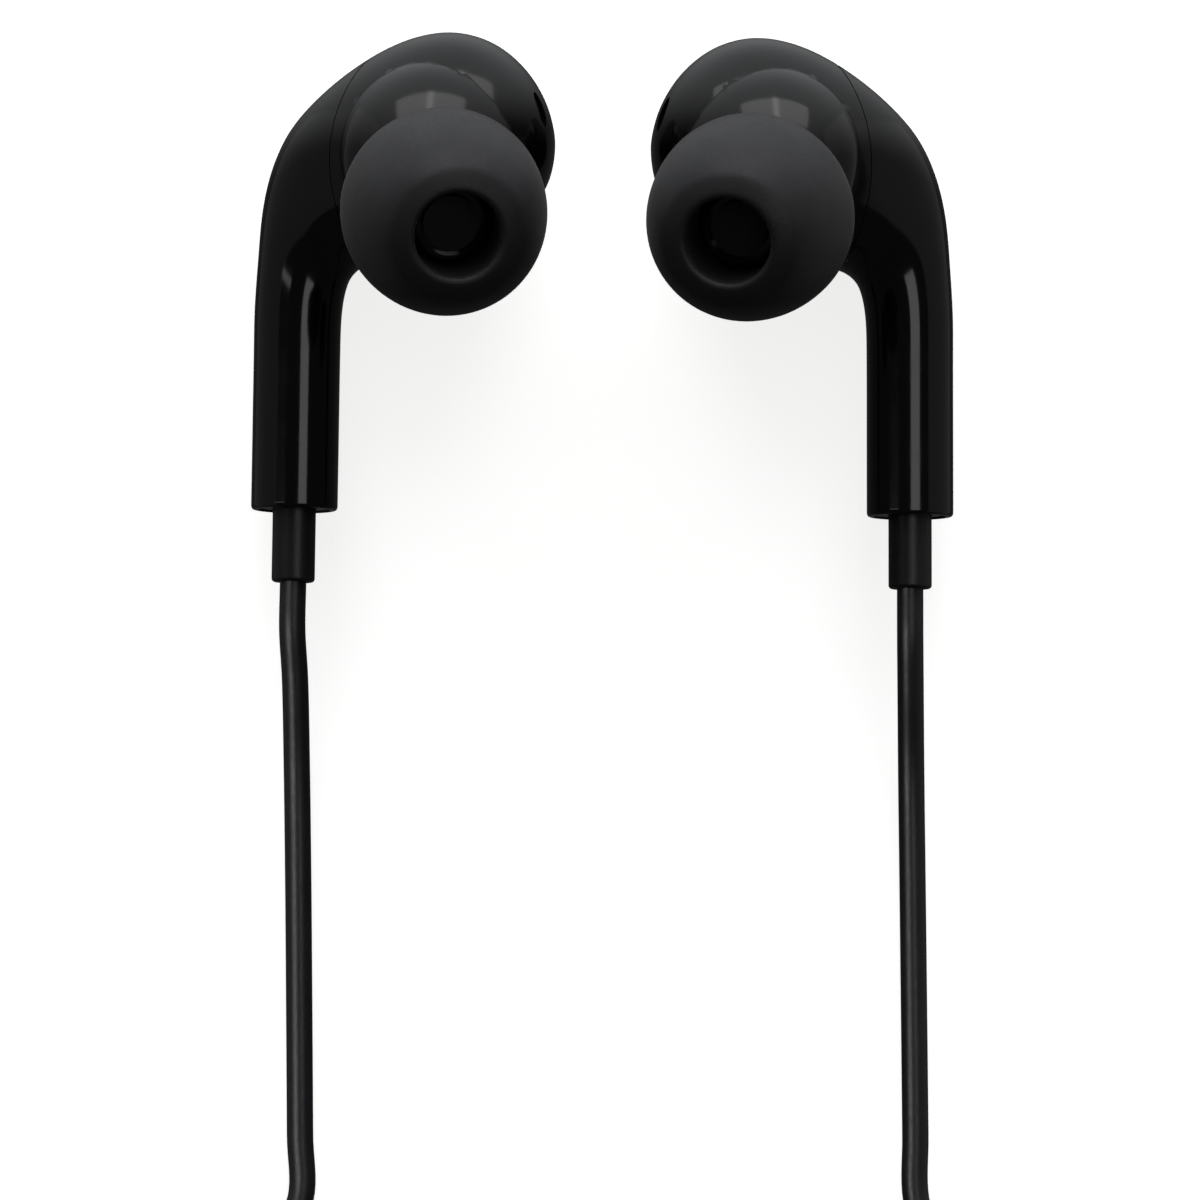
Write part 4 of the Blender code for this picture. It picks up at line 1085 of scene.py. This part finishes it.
sweep = {"size": 3.0, "dark": "#f1f1f0", "light": "#f7f7f6", "driftMm": 80.0, "glow": 0.92}


def makeFloor():
    deselectAll()
    bpy.ops.mesh.primitive_plane_add(size=sweep["size"], location=(0, 0, 0))
    floor = rename(bpy.context.object, "studioFloor")
    material, tree = newMaterial("matteWhiteSweep")
    place = addNode(tree, "ShaderNodeTexCoord")
    drift = addNode(
        tree, "ShaderNodeTexNoise",
        {"Scale": 1 / (sweep["driftMm"] * mm), "Detail": 2.0, "Roughness": 0.55},
        {"Vector": (place, "Object")},
    )
    colours = addNode(tree, "ShaderNodeValToRGB", links={"Fac": (drift, "Fac")})
    colours.color_ramp.elements[0].color = hexColour(sweep["dark"])
    colours.color_ramp.elements[1].color = hexColour(sweep["light"])
    shader = addNode(
        tree, "ShaderNodeBsdfPrincipled",
        {"Roughness": 0.9, "Specular IOR Level": 0.1, "Emission Strength": sweep["glow"]},
        {"Base Color": (colours, "Color"), "Emission Color": (colours, "Color")},
    )
    addNode(tree, "ShaderNodeOutputMaterial", links={"Surface": (shader, "BSDF")})
    floor.data.materials.append(material)
    # a lit sweep that the gloss and the silicone don't pick up, as with black flags round the pair
    floor.visible_glossy = False
    floor.visible_diffuse = False


lights = {
    # place and aim in mm, size in mm, brightness of its face; "only" keeps a light to the soft
    # shading or to the reflections, and "subjects" to the pieces whose names start so
    "rearSoftbox": {"at": (0, 300, 120), "aim": (0, 5, 8), "size": (300, 120), "bright": 6.0,
                    "only": "shading"},
    "flareSoftbox": {"at": (0, 262, 196), "aim": (0, 0, 5), "size": (330, 130), "bright": 1.2,
                     "only": "reflections"},
    "flareStreak": {"at": (0, 252, 188), "aim": (0, 0, 5), "size": (24, 144), "bright": 1.4,
                    "only": "reflections"},
    "stripRight": {"at": (75, -10, 230), "aim": (74, -10, 0), "size": (103, 100), "bright": 1.5,
                   "only": "reflections"},
    "stripLeft": {"at": (-205, -10, 230), "aim": (-100, -10, 0), "size": (22, 140), "bright": 1.3,
                  "only": "reflections"},
    "cableSoftbox": {"at": (-195, -75, 230), "aim": (-120, -75, 0), "size": (120, 150),
                     "bright": 5.0, "only": "reflections",
                     "subjects": ("leftLeadCord", "rightLeadCord", "trunkCord")},
    "leftPanel": {"at": (-120, -5, 0), "aim": (0, -5, 0), "size": (200, 180), "bright": 0.11,
                  "only": "reflections", "subjects": ("left",)},
    "rightPanel": {"at": (120, -5, 0), "aim": (0, -5, 0), "size": (200, 180), "bright": 0.14,
                   "only": "reflections", "subjects": ("right",)},
}


def makeLights():
    for name, spec in lights.items():
        deselectAll()
        at, aim = Vector(spec["at"]) * mm, Vector(spec["aim"]) * mm
        bpy.ops.object.light_add(type="AREA", location=at)
        lamp = bpy.context.object
        lamp.name = name
        lamp.rotation_euler = (aim - at).to_track_quat("-Z", "Y").to_euler()
        lamp.data.shape = "RECTANGLE"
        wide, high = (value * mm for value in spec["size"])
        lamp.data.size, lamp.data.size_y = wide, high
        lamp.data.energy = spec["bright"] * math.pi * wide * high
        lamp.visible_glossy = spec["only"] != "shading"
        lamp.visible_diffuse = spec["only"] != "reflections"
        if "subjects" in spec:
            lit = bpy.data.collections.new(name + "Subjects")
            for obj in bpy.context.scene.objects:
                if obj.name.startswith(spec["subjects"]):
                    lit.objects.link(obj)
            lamp.light_linking.receiver_collection = lit


room = {"tint": "#eef0f2", "front": 0.05, "rear": 0.95, "rises": (0.15, 0.98)}


def makeRoom():
    # bright behind the pair, dark overhead and in front
    world = bpy.data.worlds.new("studioRoom")
    bpy.context.scene.world = world
    world.use_nodes = True
    tree = world.node_tree
    place = addNode(tree, "ShaderNodeTexCoord")
    axes = addNode(tree, "ShaderNodeSeparateXYZ", links={"Vector": (place, "Generated")})
    rear = addNode(
        tree, "ShaderNodeMapRange",
        {"interpolation_type": "SMOOTHSTEP", "From Min": room["rises"][0],
         "From Max": room["rises"][1], "To Min": room["front"], "To Max": room["rear"]},
        {"Value": (axes, "Y")},
    )
    background = tree.nodes["Background"]
    background.inputs["Color"].default_value = hexColour(room["tint"])
    tree.links.new(rear.outputs["Result"], background.inputs["Strength"])


makeFloor()
makeLights()
makeRoom()
bpy.context.scene.view_settings.view_transform = "Standard"
print("floor and lights made")
